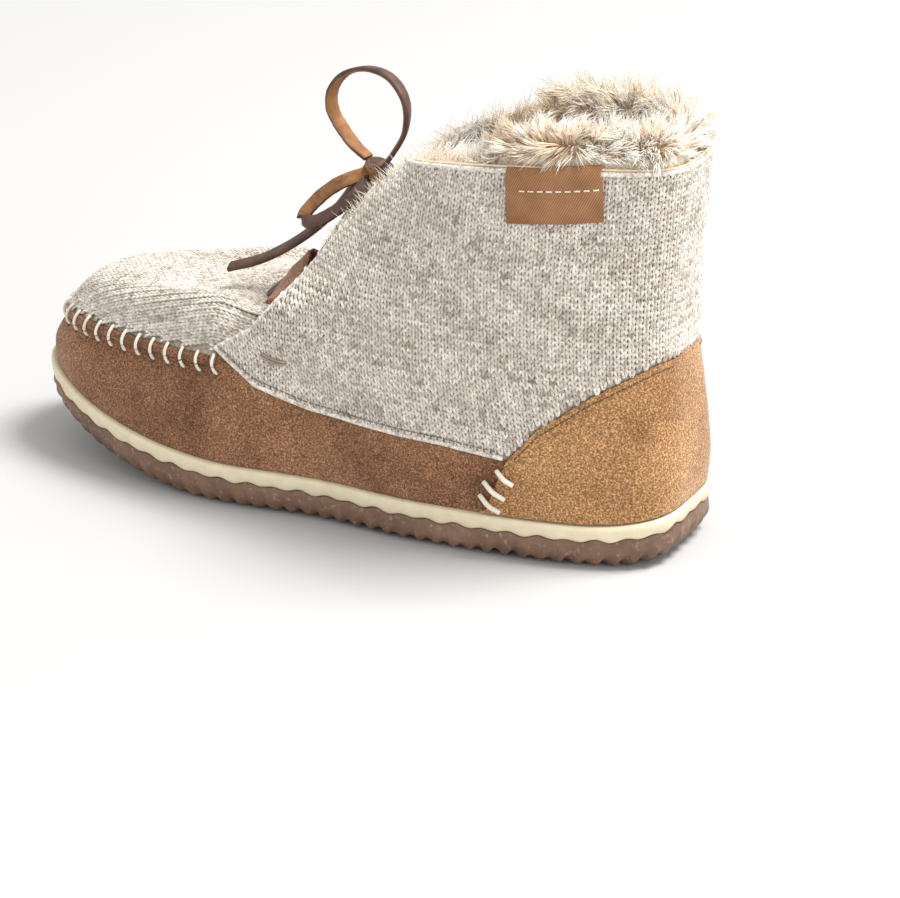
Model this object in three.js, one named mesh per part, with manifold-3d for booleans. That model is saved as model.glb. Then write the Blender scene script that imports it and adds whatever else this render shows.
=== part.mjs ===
// Left ankle boot with a moccasin toe: suede wall, knitted top and ankle, deep pile cuff,
// wavy midsole band and a nubbed gum outsole. Millimetres, +X to the toe, +Y to the outer
// side, +Z up, origin under the middle of the sole.
import * as THREE from "three";
import { mergeVertices } from "three/addons/utils/BufferGeometryUtils.js";
import Module from "manifold-3d";

const wasm = await Module();
wasm.setup();

// Driving dimensions
const length = 264;            // sole, heel to toe
const ballHalfWidth = 46.3;    // largest half width of the sole
const collarHeight = 147.5;    // collar edge at the back of the heel
const outsoleThickness = 10.4; // from the floor to the midsole
const bandHeight = 5.6;        // midsole band
const bandWave = 0.8;          // rise and fall of the band's lower edge
const toeSpring = 18.3;        // lift of the toe's tip
const heelLift = 3.4;          // lift of the heel's back edge
const toeSwing = 9.4;          // turn of the toe towards the inner side
const wallThickness = 3.2;     // upper's suede and backing
const knitProud = 1.0;         // knit above the suede's surface
const knitDepth = 1.0;         // knit let into the wall
const counterProud = 1.2;      // heel counter above the suede's surface
const counterDepth = 0.7;      // heel counter let into the wall
const plugProud = 0.8;         // toe knit above the suede's surface
const seamProud = 2.2;         // puckered rim of the toe knit
const clearance = 0.3;         // between pieces that meet
const tongueThickness = 2.0;
const tongueDepth = 6.2;       // tongue's face below the suede's surface, under the laces
const insoleThickness = 5.0;
const nubCount = 60;           // rounded nubs round the outsole
const waveCount = 40;          // waves of the band's lower edge
const nubBite = 1.9;           // how far a nub stands out
const lugHeight = 2.6;         // lugs under the outsole
const lugRadius = 6.5;
const lugPitch = 19;
const pileDepth = 11;          // thickness of the pile cuff
const pileRise = 8;            // pile above the collar edge
const pileLock = 7;            // length of a lock of pile
const pileLockRadius = 5;
const pileLockCount = 16;      // locks in each ring
const laceWidth = 5;
const laceThickness = 1.8;
const labelWidth = 33;
const labelHeight = 16;
const labelThickness = 1.2;
const labelPlace = -0.352;     // middle of the label, share of the length from the middle

const bandTop = outsoleThickness + clearance + bandHeight;
const upperBase = bandTop + clearance;
const upperRise = collarHeight - upperBase;
const columns = 36;
const crowding = 0.4;          // draws the columns together at heel and toe

function turnAt(i) {
  const even = i / columns * 2 * Math.PI;
  return even - crowding * Math.sin(2 * even) / 2;
}

// Small curve helpers

function monotone(knots, values) {
  const last = knots.length - 1;
  const slope = [];
  for (let i = 0; i < last; i++) {
    slope.push((values[i + 1] - values[i]) / (knots[i + 1] - knots[i]));
  }
  const tangent = [slope[0]];
  for (let i = 1; i < last; i++) {
    const product = slope[i - 1] * slope[i];
    tangent.push(product <= 0 ? 0 : 2 * product / (slope[i - 1] + slope[i]));
  }
  tangent.push(slope[last - 1]);
  return (at) => {
    const x = Math.min(Math.max(at, knots[0]), knots[last]);
    let i = 0;
    while (i < last - 1 && x > knots[i + 1]) i++;
    const h = knots[i + 1] - knots[i];
    const u = (x - knots[i]) / h;
    const v = 1 - u;
    return values[i] * (1 + 2 * u) * v * v + values[i + 1] * (3 - 2 * u) * u * u
      + tangent[i] * h * u * v * v - tangent[i + 1] * h * v * u * u;
  };
}

function smoothstep(from, to, at) {
  const u = Math.min(Math.max((at - from) / (to - from), 0), 1);
  return u * u * (3 - 2 * u);
}

// The last: one table of loops, from the feather edge (t = 0) to the collar edge (t = 1).
// A loop runs round the boot. back and front are shares of the length, from the middle.
// zBack, zSide and zFront are heights above the sole as shares of the upper's rise, lift is
// the share of the toe spring that the loop takes, heel to toe are half widths as shares of
// the ball's half width, and roundBack and roundFront are the powers of the loop's ends.
const loops = [
  { t: 0.00, back: -0.4917, front: 0.4917, zBack: 0.000, zSide: 0.000, zFront: 0.000, lift: 1.00,
    heel: 0.908, arch: 0.884, waist: 0.808, ball: 0.920, toe: 0.952, roundBack: 0.46, roundFront: 0.63 },
  { t: 0.12, back: -0.4970, front: 0.4930, zBack: 0.102, zSide: 0.099, zFront: 0.055, lift: 0.90,
    heel: 0.930, arch: 0.915, waist: 0.850, ball: 0.945, toe: 0.960, roundBack: 0.50, roundFront: 0.64 },
  { t: 0.24, back: -0.4940, front: 0.4860, zBack: 0.217, zSide: 0.199, zFront: 0.149, lift: 0.50,
    heel: 0.935, arch: 0.920, waist: 0.850, ball: 0.910, toe: 0.900, roundBack: 0.53, roundFront: 0.66 },
  { t: 0.36, back: -0.4890, front: 0.4730, zBack: 0.332, zSide: 0.298, zFront: 0.251, lift: 0.00,
    heel: 0.930, arch: 0.905, waist: 0.840, ball: 0.830, toe: 0.790, roundBack: 0.56, roundFront: 0.68 },
  { t: 0.46, back: -0.4850, front: 0.4250, zBack: 0.423, zSide: 0.395, zFront: 0.362, lift: 0.00,
    heel: 0.915, arch: 0.880, waist: 0.825, ball: 0.805, toe: 0.720, roundBack: 0.60, roundFront: 0.66 },
  { t: 0.56, back: -0.4840, front: 0.3220, zBack: 0.522, zSide: 0.488, zFront: 0.408, lift: 0.00,
    heel: 0.890, arch: 0.860, waist: 0.815, ball: 0.800, toe: 0.745, roundBack: 0.62, roundFront: 0.70 },
  { t: 0.66, back: -0.4860, front: 0.2150, zBack: 0.615, zSide: 0.565, zFront: 0.420, lift: 0.00,
    heel: 0.860, arch: 0.840, waist: 0.810, ball: 0.810, toe: 0.780, roundBack: 0.64, roundFront: 0.74 },
  { t: 0.76, back: -0.4900, front: 0.1290, zBack: 0.728, zSide: 0.652, zFront: 0.478, lift: 0.00,
    heel: 0.810, arch: 0.820, waist: 0.800, ball: 0.790, toe: 0.760, roundBack: 0.66, roundFront: 0.76 },
  { t: 0.88, back: -0.4960, front: 0.0227, zBack: 0.870, zSide: 0.805, zFront: 0.691, lift: 0.00,
    heel: 0.770, arch: 0.790, waist: 0.785, ball: 0.765, toe: 0.730, roundBack: 0.68, roundFront: 0.80 },
  { t: 1.00, back: -0.5000, front: -0.0910, zBack: 1.000, zSide: 1.001, zFront: 0.908, lift: 0.00,
    heel: 0.745, arch: 0.785, waist: 0.790, ball: 0.775, toe: 0.735, roundBack: 0.70, roundFront: 0.80 },
];
const stations = [0, 0.15, 0.35, 0.5, 0.68, 0.85, 1];
const innerHollow = monotone(stations, [0, 0, 0.06, 0.09, 0.03, 0, 0]);
const loopPlaces = loops.map((loop) => loop.t);
const along = {};
for (const column of Object.keys(loops[0])) {
  along[column] = monotone(loopPlaces, loops.map((loop) => loop[column]));
}

function lift(x) {
  const s = x / length + 0.5;
  const toe = Math.min(Math.max((s - 0.62) / 0.38, 0), 1);
  const heel = Math.min(Math.max((0.12 - s) / 0.12, 0), 1);
  return toeSpring * toe * toe + heelLift * heel * heel;
}

function ringPoint(angle, back, front, widths, roundBack, roundFront) {
  const s = (1 + Math.cos(angle)) / 2;
  const x = back + (front - back) * s;
  const power = roundFront + (roundBack - roundFront) * (1 - s);
  const width = monotone(stations, widths)(s);
  const round = Math.pow(Math.abs(Math.sin(angle)), power);
  const swing = toeSwing * Math.pow(Math.min(Math.max(x / (length / 2), 0), 1), 2);
  const outer = Math.sin(angle) >= 0;
  const half = outer ? width : width - innerHollow(s) * ballHalfWidth;
  const y = (outer ? half : -half) * round - swing;
  return { x, y, s };
}

function lastPoint(angle, t) {
  const w = ["heel", "arch", "waist", "ball", "toe"].map((name) => along[name](t) * ballHalfWidth);
  const ring = ringPoint(angle, along.back(t) * length, along.front(t) * length,
    [w[0] * 0.98, ...w, w[4] * 0.97], along.roundBack(t), along.roundFront(t));
  const { s } = ring;
  const zBack = upperBase + along.zBack(t) * upperRise;
  const zSide = upperBase + along.zSide(t) * upperRise;
  const zFront = upperBase + along.zFront(t) * upperRise;
  const level = zBack * (1 - s) * (1 - 2 * s) + zSide * 4 * s * (1 - s) + zFront * s * (2 * s - 1);
  return new THREE.Vector3(ring.x, ring.y, level + along.lift(t) * lift(ring.x));
}

function skin(angle, t, height) {
  const step = 0.004;
  const low = Math.max(t - step, 0);
  const high = Math.min(t + step, 1);
  const round = lastPoint(angle + step, t).sub(lastPoint(angle - step, t));
  const up = lastPoint(angle, high).sub(lastPoint(angle, low));
  const normal = round.cross(up).normalize();
  return lastPoint(angle, t).addScaledVector(normal, height);
}

// Closed bodies from rings of points

// turned is the ring from which the squares are split along their other diagonal.
function loft(rings, closed, turned = Infinity) {
  const around = rings[0].length;
  const count = rings.length;
  const position = [];
  for (const ring of rings) {
    for (const p of ring) position.push(p.x, p.y, p.z);
  }
  const index = [];
  const strips = closed ? count : count - 1;
  for (let j = 0; j < strips; j++) {
    for (let i = 0; i < around; i++) {
      const a = j * around + i;
      const b = j * around + (i + 1) % around;
      const c = ((j + 1) % count) * around + i;
      const d = ((j + 1) % count) * around + (i + 1) % around;
      if (j < turned) index.push(a, b, d, a, d, c);
      else index.push(a, b, c, b, d, c);
    }
  }
  if (!closed) {
    const top = (count - 1) * around;
    for (let i = 0; i < around / 2; i++) {
      const far = (around - i) % around;
      const a = i + 1;
      const b = around - i - 1;
      if (a !== b) {
        index.push(i, b, a);
        index.push(top + i, top + a, top + b);
      }
      if (i !== far) {
        index.push(i, far, b);
        index.push(top + i, top + b, top + far);
      }
    }
  }
  const geometry = new THREE.BufferGeometry();
  geometry.setAttribute("position", new THREE.Float32BufferAttribute(position, 3));
  geometry.setIndex(index);
  return geometry;
}

function solid(geometry) {
  const bare = geometry.clone();
  bare.deleteAttribute("normal");
  bare.deleteAttribute("uv");
  const merged = mergeVertices(bare, 1e-4);
  return new wasm.Manifold(new wasm.Mesh({
    numProp: 3,
    vertProperties: new Float32Array(merged.attributes.position.array),
    triVerts: new Uint32Array(merged.index.array),
  }));
}

function geometryOf(body) {
  const mesh = body.getMesh();
  const geometry = new THREE.BufferGeometry();
  geometry.setAttribute("position", new THREE.BufferAttribute(new Float32Array(mesh.vertProperties), 3));
  geometry.setIndex(new THREE.BufferAttribute(new Uint32Array(mesh.triVerts), 1));
  return geometry;
}

// A sheet lies between two heights over the last's surface, and may use part of its loops.
const sheetRows = [0, 0.12, 0.24, 0.36, 0.39, 0.45, 0.54, 0.64, 0.74, 0.83, 0.92, 1];

function sheet({ outer, inner, from = 0, to = 1 }) {
  const rows = [from, ...sheetRows.filter((t) => t > from + 0.01 && t < to - 0.01), to];
  const ring = (t, height) => {
    const points = [];
    for (let i = 0; i < columns; i++) {
      const angle = turnAt(i);
      points.push(skin(angle, t, height(angle, t)));
    }
    return points;
  };
  const outside = rows.map((t) => ring(t, outer));
  const inside = rows.map((t) => ring(t, inner)).reverse();
  return solid(loft([...outside, ...inside], true, rows.length));
}

const level = (height) => () => height;

// The filled form inside the last's surface, run on past both edges of the upper.
function core(depth) {
  const margin = 8;
  const ring = (t, rise) => {
    const points = [];
    for (let i = 0; i < columns; i++) {
      const point = skin(turnAt(i), t, -depth);
      point.z += rise;
      points.push(point);
    }
    return points;
  };
  return solid(loft([ring(0, -margin), ...sheetRows.map((t) => ring(t, 0)), ring(1, margin)], false));
}

// Prisms that cut the sheets. A side prism's outline is in x and z, a top prism's in x and y.

function sidePrism(points, from = -200, to = 200) {
  const shape = new THREE.Shape(points.map(([x, z]) => new THREE.Vector2(x, z)));
  const geometry = new THREE.ExtrudeGeometry(shape, { depth: to - from, bevelEnabled: false });
  geometry.rotateX(Math.PI / 2);
  geometry.translate(0, to, 0);
  return solid(geometry);
}

function topPrism(points, from = -50, to = 300) {
  const shape = new THREE.Shape(points.map(([x, y]) => new THREE.Vector2(x, y)));
  const geometry = new THREE.ExtrudeGeometry(shape, { depth: to - from, bevelEnabled: false });
  geometry.translate(0, 0, from);
  return solid(geometry);
}

// Moves each edge of an outline sideways, outwards for a positive distance.
function grow(points, distance) {
  const area = points.reduce((sum, [x, y], i) => {
    const [nextX, nextY] = points[(i + 1) % points.length];
    return sum + x * nextY - nextX * y;
  }, 0);
  const side = Math.sign(area);
  const normal = ([ax, ay], [bx, by]) => {
    const size = Math.hypot(bx - ax, by - ay);
    return [side * (by - ay) / size, side * (ax - bx) / size];
  };
  return points.map((point, i) => {
    const before = normal(points[(i + points.length - 1) % points.length], point);
    const after = normal(point, points[(i + 1) % points.length]);
    const share = distance / (1 + before[0] * after[0] + before[1] * after[1]);
    return [point[0] + (before[0] + after[0]) * share, point[1] + (before[1] + after[1]) * share];
  });
}

// Outlines seen from the side: x as a share of the length, z above the sole as a share of
// the upper's rise.
const heightAt = (share) => upperBase + share * upperRise;
const place = (rows) => rows.map(({ x, z }) => [x * length, heightAt(z)]);
const throatEdge = place([
  { x: 0.160, z: 0.331 },
  { x: 0.102, z: 0.405 },
  { x: 0.068, z: 0.488 },
  { x: 0.030, z: 0.584 },
  { x: -0.008, z: 0.683 },
  { x: -0.048, z: 0.789 },
  { x: -0.079, z: 0.856 },
  { x: -0.114, z: 0.908 },
]);
const quarterHem = place([
  { x: -0.291, z: 0.170 },
  { x: -0.197, z: 0.191 },
  { x: -0.080, z: 0.202 },
  { x: 0.005, z: 0.215 },
  { x: 0.091, z: 0.250 },
]);
const counterFront = place([
  { x: -0.254, z: -0.057 },
  { x: -0.265, z: 0.041 },
]);
const counterTop = place([
  { x: -0.291, z: 0.170 },
  { x: -0.333, z: 0.268 },
  { x: -0.401, z: 0.371 },
  { x: -0.470, z: 0.450 },
  { x: -0.560, z: 0.484 },
]);
const beyond = 1.2;
const behind = -beyond * length / 2;
const above = beyond * collarHeight;
const quarterOutline = [
  ...throatEdge, [throatEdge[7][0], above], [behind, above],
  ...[...counterTop].reverse(), ...quarterHem.slice(1),
];
const counterOutline = [...counterFront, ...counterTop, [behind, 0], [counterFront[0][0], 0]];
const plugRear = throatEdge[0][0];
const throatRear = plugRear - 4.5;

// Upper and its overlays

const seamPlace = 0.36;
const seamGap = 0.003;

function upperBody() {
  const wall = sheet({ outer: level(0), inner: level(-wallThickness) });
  const bed = (outline, depth) => sidePrism(grow(outline, clearance)).subtract(core(depth + clearance));
  const plugBed = sheet({ outer: level(6), inner: level(-knitDepth - clearance), from: seamPlace });
  const edge = throatEdge.filter(([x]) => x < throatRear).map(([x, z]) => [x - 0.8, z]);
  const opening = [
    [throatRear, throatEdge[0][1] + 1.5], ...edge, [edge[edge.length - 1][0], above], [throatRear, above],
  ];
  return wall
    .subtract(bed(quarterOutline, knitDepth))
    .subtract(bed(counterOutline, counterDepth))
    .subtract(plugBed.intersect(sidePrism(grow(plugOutline(), clearance))))
    .subtract(sidePrism(opening));
}

function plugOutline() {
  return [[plugRear, -above], [length, -above], [length, above], [plugRear, above]];
}

function quarterBody() {
  return sheet({ outer: level(knitProud), inner: level(-knitDepth) }).intersect(sidePrism(quarterOutline));
}

function counterBody() {
  return sheet({ outer: level(counterProud), inner: level(-counterDepth), from: 0.006 })
    .intersect(sidePrism(grow(counterOutline, -clearance)))
    .subtract(sidePrism(grow(quarterOutline, clearance)));
}

function plugBody() {
  const rim = seamPlace + seamGap;
  const outer = (angle, t) => plugProud + (seamProud - plugProud) * (1 - smoothstep(rim, rim + 0.05, t));
  return sheet({ outer, inner: level(-knitDepth), from: rim })
    .intersect(sidePrism(plugOutline()))
    .subtract(sidePrism(grow(quarterOutline, clearance)));
}

// Tongue: shallow where it joins the toe knit, deep under the laces
const tongueHalf = 27;
const tongueTop = heightAt(0.843);
const tongueStart = plugRear + 6;
const shallow = wallThickness + clearance;

function tongueBody() {
  const face = (angle, t) => {
    const { x } = lastPoint(angle, t);
    return -shallow - (tongueDepth - shallow) * (1 - smoothstep(0.145 * length, 0.225 * length, x));
  };
  const inner = (angle, t) => face(angle, t) - tongueThickness;
  const outline = [
    [tongueStart, -0.66 * tongueHalf], [tongueStart, 0.6 * tongueHalf], [20, 0.92 * tongueHalf],
    [-10, 0.82 * tongueHalf], [-40, 0.72 * tongueHalf],
    [-40, -0.75 * tongueHalf], [-10, -0.85 * tongueHalf], [20, -0.94 * tongueHalf],
  ];
  const slope = [
    [tongueStart, heightAt(0.366)], [tongueStart, tongueTop], [-60, tongueTop], [-60, heightAt(0.695)],
  ];
  return sheet({ outer: face, inner, from: 0.5 }).intersect(topPrism(outline)).intersect(sidePrism(slope));
}

// Sole: outlines spaced evenly round the edge, one column for each side of a nub
const soleColumns = nubCount * 2;
const soleWidths = [0.936, 0.955, 0.930, 0.855, 0.965, 1.000, 0.970];
const soleRoundBack = 0.44;
const soleRoundFront = 0.63;
const groundShare = 1.28;      // the tread's lift beside the band's, so the ends get thin
const groundFlat = 1.2;        // lift taken off again, so that the forefoot rests flat

function groundRise(x) {
  return Math.max(0, groundShare * lift(x) - groundFlat);
}

function soleOutline(inset) {
  const fine = soleColumns * 6;
  const widths = soleWidths.map((share) => share * ballHalfWidth - inset);
  const points = [];
  for (let i = 0; i <= fine; i++) {
    const angle = i / fine * 2 * Math.PI;
    const end = length / 2 - inset;
    points.push(ringPoint(angle, -end, end, widths, soleRoundBack, soleRoundFront));
  }
  const run = [0];
  for (let i = 1; i <= fine; i++) {
    run.push(run[i - 1] + Math.hypot(points[i].x - points[i - 1].x, points[i].y - points[i - 1].y));
  }
  const even = [];
  let k = 0;
  for (let i = 0; i < soleColumns; i++) {
    const at = run[fine] * i / soleColumns;
    while (run[k + 1] < at) k++;
    const share = (at - run[k]) / (run[k + 1] - run[k]);
    even.push(new THREE.Vector2(
      points[k].x + (points[k + 1].x - points[k].x) * share,
      points[k].y + (points[k + 1].y - points[k].y) * share,
    ));
  }
  return even;
}

// Each ring has an inset and a height at a nub and between nubs. A share of 1 follows the
// band's lift, a share of 0 the ground's. wavy is the share of the band's wave it takes.
const wave = (i) => bandWave * Math.cos(2 * Math.PI * i * waveCount / soleColumns);

function soleRing({ inset, z, insetBetween = inset, zBetween = z, follow = 1, wavy = 0 }) {
  const nub = soleOutline(inset);
  const between = soleOutline(insetBetween);
  return nub.map((point, i) => {
    const p = i % 2 ? between[i] : point;
    const height = i % 2 ? zBetween : z;
    const rise = follow * lift(p.x) + (1 - follow) * groundRise(p.x);
    return new THREE.Vector3(p.x, p.y, height + rise + wavy * wave(i));
  });
}

const sideShare = (share) => share * outsoleThickness;
const outsoleRings = [
  { inset: 14.0, z: lugHeight, follow: 0 },
  { inset: 5.4, insetBetween: 5.4 + nubBite, z: 0.3, zBetween: lugHeight, follow: 0 },
  { inset: 1.7, insetBetween: 1.7 + nubBite, z: sideShare(0.22), zBetween: sideShare(0.36), follow: 0.2 },
  { inset: 0.5, insetBetween: 0.5 + nubBite / 3, z: sideShare(0.52), zBetween: sideShare(0.58),
    follow: 0.6 },
  { inset: 0.9, z: sideShare(0.82), follow: 0.9, wavy: 0.6 },
  { inset: 1.5, z: outsoleThickness, wavy: 1 },
];
const bandRings = [
  { inset: 1.5, z: outsoleThickness + clearance, wavy: 1 },
  { inset: 0.3, z: outsoleThickness + clearance + bandHeight * 0.25, wavy: 0.8 },
  { inset: 0, z: outsoleThickness + clearance + bandHeight * 0.7 },
  { inset: 1.1, z: bandTop },
];

// Lugs under the sole: rows across it, and one broad pad each for heel and forefoot
const treadInset = 17;
const heelPad = { x: -0.33 * length, y: -1, radius: 13 };
const forefootPad = { x: 0.13 * length, y: -2, radius: 13 };

function lugPlaces() {
  const edge = soleOutline(treadInset);
  const places = [];
  const rows = Math.floor((length / 2 - treadInset - lugRadius) / lugPitch);
  for (let row = -rows; row <= rows; row++) {
    const x = row * lugPitch;
    const near = edge.filter((p) => Math.abs(p.x - x) < lugPitch / 3).map((p) => p.y);
    const high = Math.max(...near);
    const low = Math.min(...near);
    const count = Math.max(1, Math.floor((high - low) / lugPitch));
    for (let i = 0; i < count; i++) {
      const y = low + (high - low) * (i + 0.5) / count;
      const clear = [heelPad, forefootPad].every((pad) => {
        return Math.hypot(pad.x - x, pad.y - y) > pad.radius + lugRadius + 1;
      });
      if (clear) places.push({ x, y, radius: lugRadius, sides: 6 });
    }
  }
  return [...places, { ...heelPad, sides: 12 }, { ...forefootPad, sides: 12 }];
}

function outsoleBody() {
  let body = solid(loft(outsoleRings.map(soleRing), false));
  const height = lugHeight + 1.5;
  for (const { x, y, radius, sides } of lugPlaces()) {
    const lug = new THREE.CylinderGeometry(radius, radius - 0.8, height, sides);
    lug.rotateX(Math.PI / 2);
    lug.translate(x, y, groundRise(x) + height / 2);
    body = body.add(solid(lug));
  }
  return body;
}

function insoleBody() {
  const rise = (loops[1].zBack - loops[0].zBack) * upperRise;
  const top = loops[1].t * insoleThickness / rise;
  const ring = (t, height) => {
    const points = [];
    for (let i = 0; i < columns; i++) {
      const point = skin(turnAt(i), t, -wallThickness - 2 * clearance);
      point.z = bandTop + clearance + height + lift(point.x);
      points.push(point);
    }
    return points;
  };
  return solid(loft([ring(0, 0), ring(top, insoleThickness)], false));
}

// Pile cuff: a section of the cuff swept round the collar, with locks fused on its crest.
// in is the depth into the shaft and rise the height over the collar edge, as shares.
const cuffSection = [
  { t: 0.74, in: 0, rise: 0 },
  { t: 0.83, in: 0, rise: 0 },
  { t: 0.92, in: 0, rise: 0 },
  { t: 1, in: 0, rise: 0 },
  { t: 1, in: 0.16, rise: 0.75 },
  { t: 1, in: 0.52, rise: 1 },
  { t: 1, in: 0.95, rise: 0.5 },
  { t: 0.92, in: 1.1, rise: 0 },
  { t: 0.74, in: 0.9, rise: 0 },
];
const cuffDrop = 0.06;         // how much lower on the last the cuff ends behind the tongue
const cuffFront = Math.PI * 0.37;
const cuffSide = Math.PI * 0.47;

function cuffPoint(angle, { t, in: share, rise }) {
  const turn = Math.acos(Math.cos(angle));
  const back = smoothstep(cuffFront, cuffSide, turn);
  const behindTongue = tongueDepth + tongueThickness + 4 * clearance;
  const base = behindTongue + (wallThickness + clearance - behindTongue) * back;
  const place = t === 1 ? t - cuffDrop * (1 - back) : t;
  const point = skin(angle, place, -base - share * pileDepth * (0.5 + 0.5 * back));
  point.z += pileRise * rise * back;
  return point;
}

function cuffBody() {
  const rings = cuffSection.map((row) => {
    const points = [];
    for (let i = 0; i < columns; i++) points.push(cuffPoint(turnAt(i), row));
    return points;
  });
  let body = solid(loft(rings, true));
  const crests = [
    { row: cuffSection[4], count: pileLockCount, lean: -0.25 },
    { row: cuffSection[5], count: pileLockCount - 4, lean: 0.1 },
    { row: cuffSection[6], count: pileLockCount - 6, lean: 0.7 },
  ];
  const sink = 3;
  crests.forEach(({ row, count, lean }, ring) => {
    for (let i = 0; i < count; i++) {
      const angle = (i + ring / 3) / count * 2 * Math.PI;
      if (Math.cos(angle) > Math.cos(cuffSide)) continue;
      const root = cuffPoint(angle, row);
      const inward = cuffPoint(angle, { ...row, in: row.in + 1 }).sub(root).setZ(0).normalize();
      const height = pileLock * (0.85 + 0.3 * ((i * 7 + ring * 3) % 5) / 4) + sink;
      const lock = new THREE.ConeGeometry(pileLockRadius, height, 4);
      lock.translate(0, height / 2 - sink, 0);
      const way = new THREE.Vector3(0, 0, 1).addScaledVector(inward, lean).normalize();
      lock.applyQuaternion(new THREE.Quaternion().setFromUnitVectors(new THREE.Vector3(0, 1, 0), way));
      lock.translate(root.x, root.y, root.z);
      body = body.add(solid(lock));
    }
  });
  return body;
}

// Label tab on the outer side, hanging from the collar edge
function labelBody() {
  const slope = -0.1;
  const middle = labelPlace * length;
  const top = heightAt(0.982);
  const corner = (across, down) => [middle + across, top - down + across * slope];
  const half = labelWidth / 2;
  const over = -15;
  const outline = [
    corner(-half, labelHeight), corner(half, labelHeight), corner(half, over), corner(-half, over),
  ];
  const inner = knitProud + clearance;
  return sheet({ outer: level(inner + labelThickness), inner: level(inner), from: 0.7 })
    .intersect(sidePrism(outline, 0, 200));
}

// Suede lace tabs: a fold of suede from under the front edge, with a slot for the lace.
// low and high are heights on the edge as shares of the upper's rise, reach is where the
// fold ends beside the middle line.
const tabs = {
  lower: { low: 0.450, high: 0.545, reach: 13.0 },
  upper: { low: 0.647, high: 0.706, reach: 5.8 },
};
const tabTop = 0.2;
const tabLeather = 1.6;
const tabSlot = laceThickness + 2 * clearance;
const tabRise = 30;            // how far the fold's strip may climb over the instep

function edgeAt(z) {
  let i = 0;
  while (i < throatEdge.length - 2 && throatEdge[i + 1][1] < z) i++;
  const [ax, az] = throatEdge[i];
  const [bx, bz] = throatEdge[i + 1];
  return ax + (bx - ax) * (z - az) / (bz - az);
}

function tabBody({ low, high, reach }, side) {
  const zLow = heightAt(low);
  const zHigh = heightAt(high);
  const gap = clearance * 1.4;
  const start = [edgeAt(zLow) + gap, zLow];
  const end = [edgeAt(zHigh) + gap, zHigh];
  const strip = sidePrism([start, end, [end[0], end[1] + tabRise], [start[0], start[1] + tabRise]]);
  const front = start[0] + 1;
  const back = end[0] - 1;
  const beside = (near) => topPrism([
    [back, side * near], [front, side * near], [front, side * 60], [back, side * 60],
  ]);
  const deep = tabTop + 2 * tabLeather + tabSlot;
  const whole = sheet({ outer: level(-tabTop), inner: level(-deep), from: 0.43 });
  const slot = sheet({ outer: level(-tabTop - tabLeather), inner: level(-deep + tabLeather), from: 0.43 });
  return whole.intersect(strip).intersect(beside(reach))
    .subtract(slot.intersect(beside(reach + tabLeather + 0.4)));
}

// Lace bars: strips seen from above, all joined
const laceFace = tabTop + tabLeather + clearance;
const laceRoute = [
  { x: 0.112, y: 0 }, { x: 0.112, y: 0.36 }, { x: 0.098, y: 0.390 }, { x: 0.038, y: 0.382 },
  { x: 0.022, y: -0.228 }, { x: -0.025, y: -0.228 }, { x: -0.036, y: 0 },
].map(({ x, y }) => [x * length, y * ballHalfWidth]);

function laceBarsBody() {
  const cord = sheet({ outer: level(-laceFace), inner: level(-laceFace - laceThickness), from: 0.5 });
  const pieces = [];
  const half = laceWidth / 2;
  for (const side of [1, -1]) {
    for (let i = 1; i < laceRoute.length; i++) {
      const [ax, ay] = [laceRoute[i - 1][0], laceRoute[i - 1][1] * side];
      const [bx, by] = [laceRoute[i][0], laceRoute[i][1] * side];
      const run = Math.hypot(bx - ax, by - ay);
      const past = [(bx - ax) / run * half * 0.6, (by - ay) / run * half * 0.6];
      const across = [(ay - by) / run * half, (bx - ax) / run * half];
      const corners = [
        [ax - past[0] - across[0], ay - past[1] - across[1]],
        [bx + past[0] - across[0], by + past[1] - across[1]],
        [bx + past[0] + across[0], by + past[1] + across[1]],
        [ax - past[0] + across[0], ay - past[1] + across[1]],
      ];
      pieces.push(topPrism(corners));
    }
  }
  return cord.intersect(wasm.Manifold.union(pieces));
}

// Flat lace swept through points. across is the way its width lies.
function laceStrip(points, across) {
  const from = new THREE.Vector3(...knotMiddle);
  const placed = points.map((p) => new THREE.Vector3(...p).add(from));
  const curve = new THREE.CatmullRomCurve3(placed, false, "centripetal");
  const lean = new THREE.CatmullRomCurve3(across.map((p) => new THREE.Vector3(...p)), false, "centripetal");
  const steps = points.length * 2;
  const rings = [];
  for (let i = 0; i <= steps; i++) {
    const u = i / steps;
    const middle = curve.getPoint(u);
    const ahead = curve.getTangent(u);
    const wide = lean.getPoint(u).addScaledVector(ahead, -lean.getPoint(u).dot(ahead)).normalize();
    const thick = new THREE.Vector3().crossVectors(ahead, wide);
    const half = laceWidth / 2;
    const thin = laceThickness / 2;
    const corner = (a, b) => middle.clone().addScaledVector(wide, a).addScaledVector(thick, b);
    rings.push([corner(-half, -thin), corner(half, -thin), corner(half, thin), corner(-half, thin)]);
  }
  return loft(rings, false);
}

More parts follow.
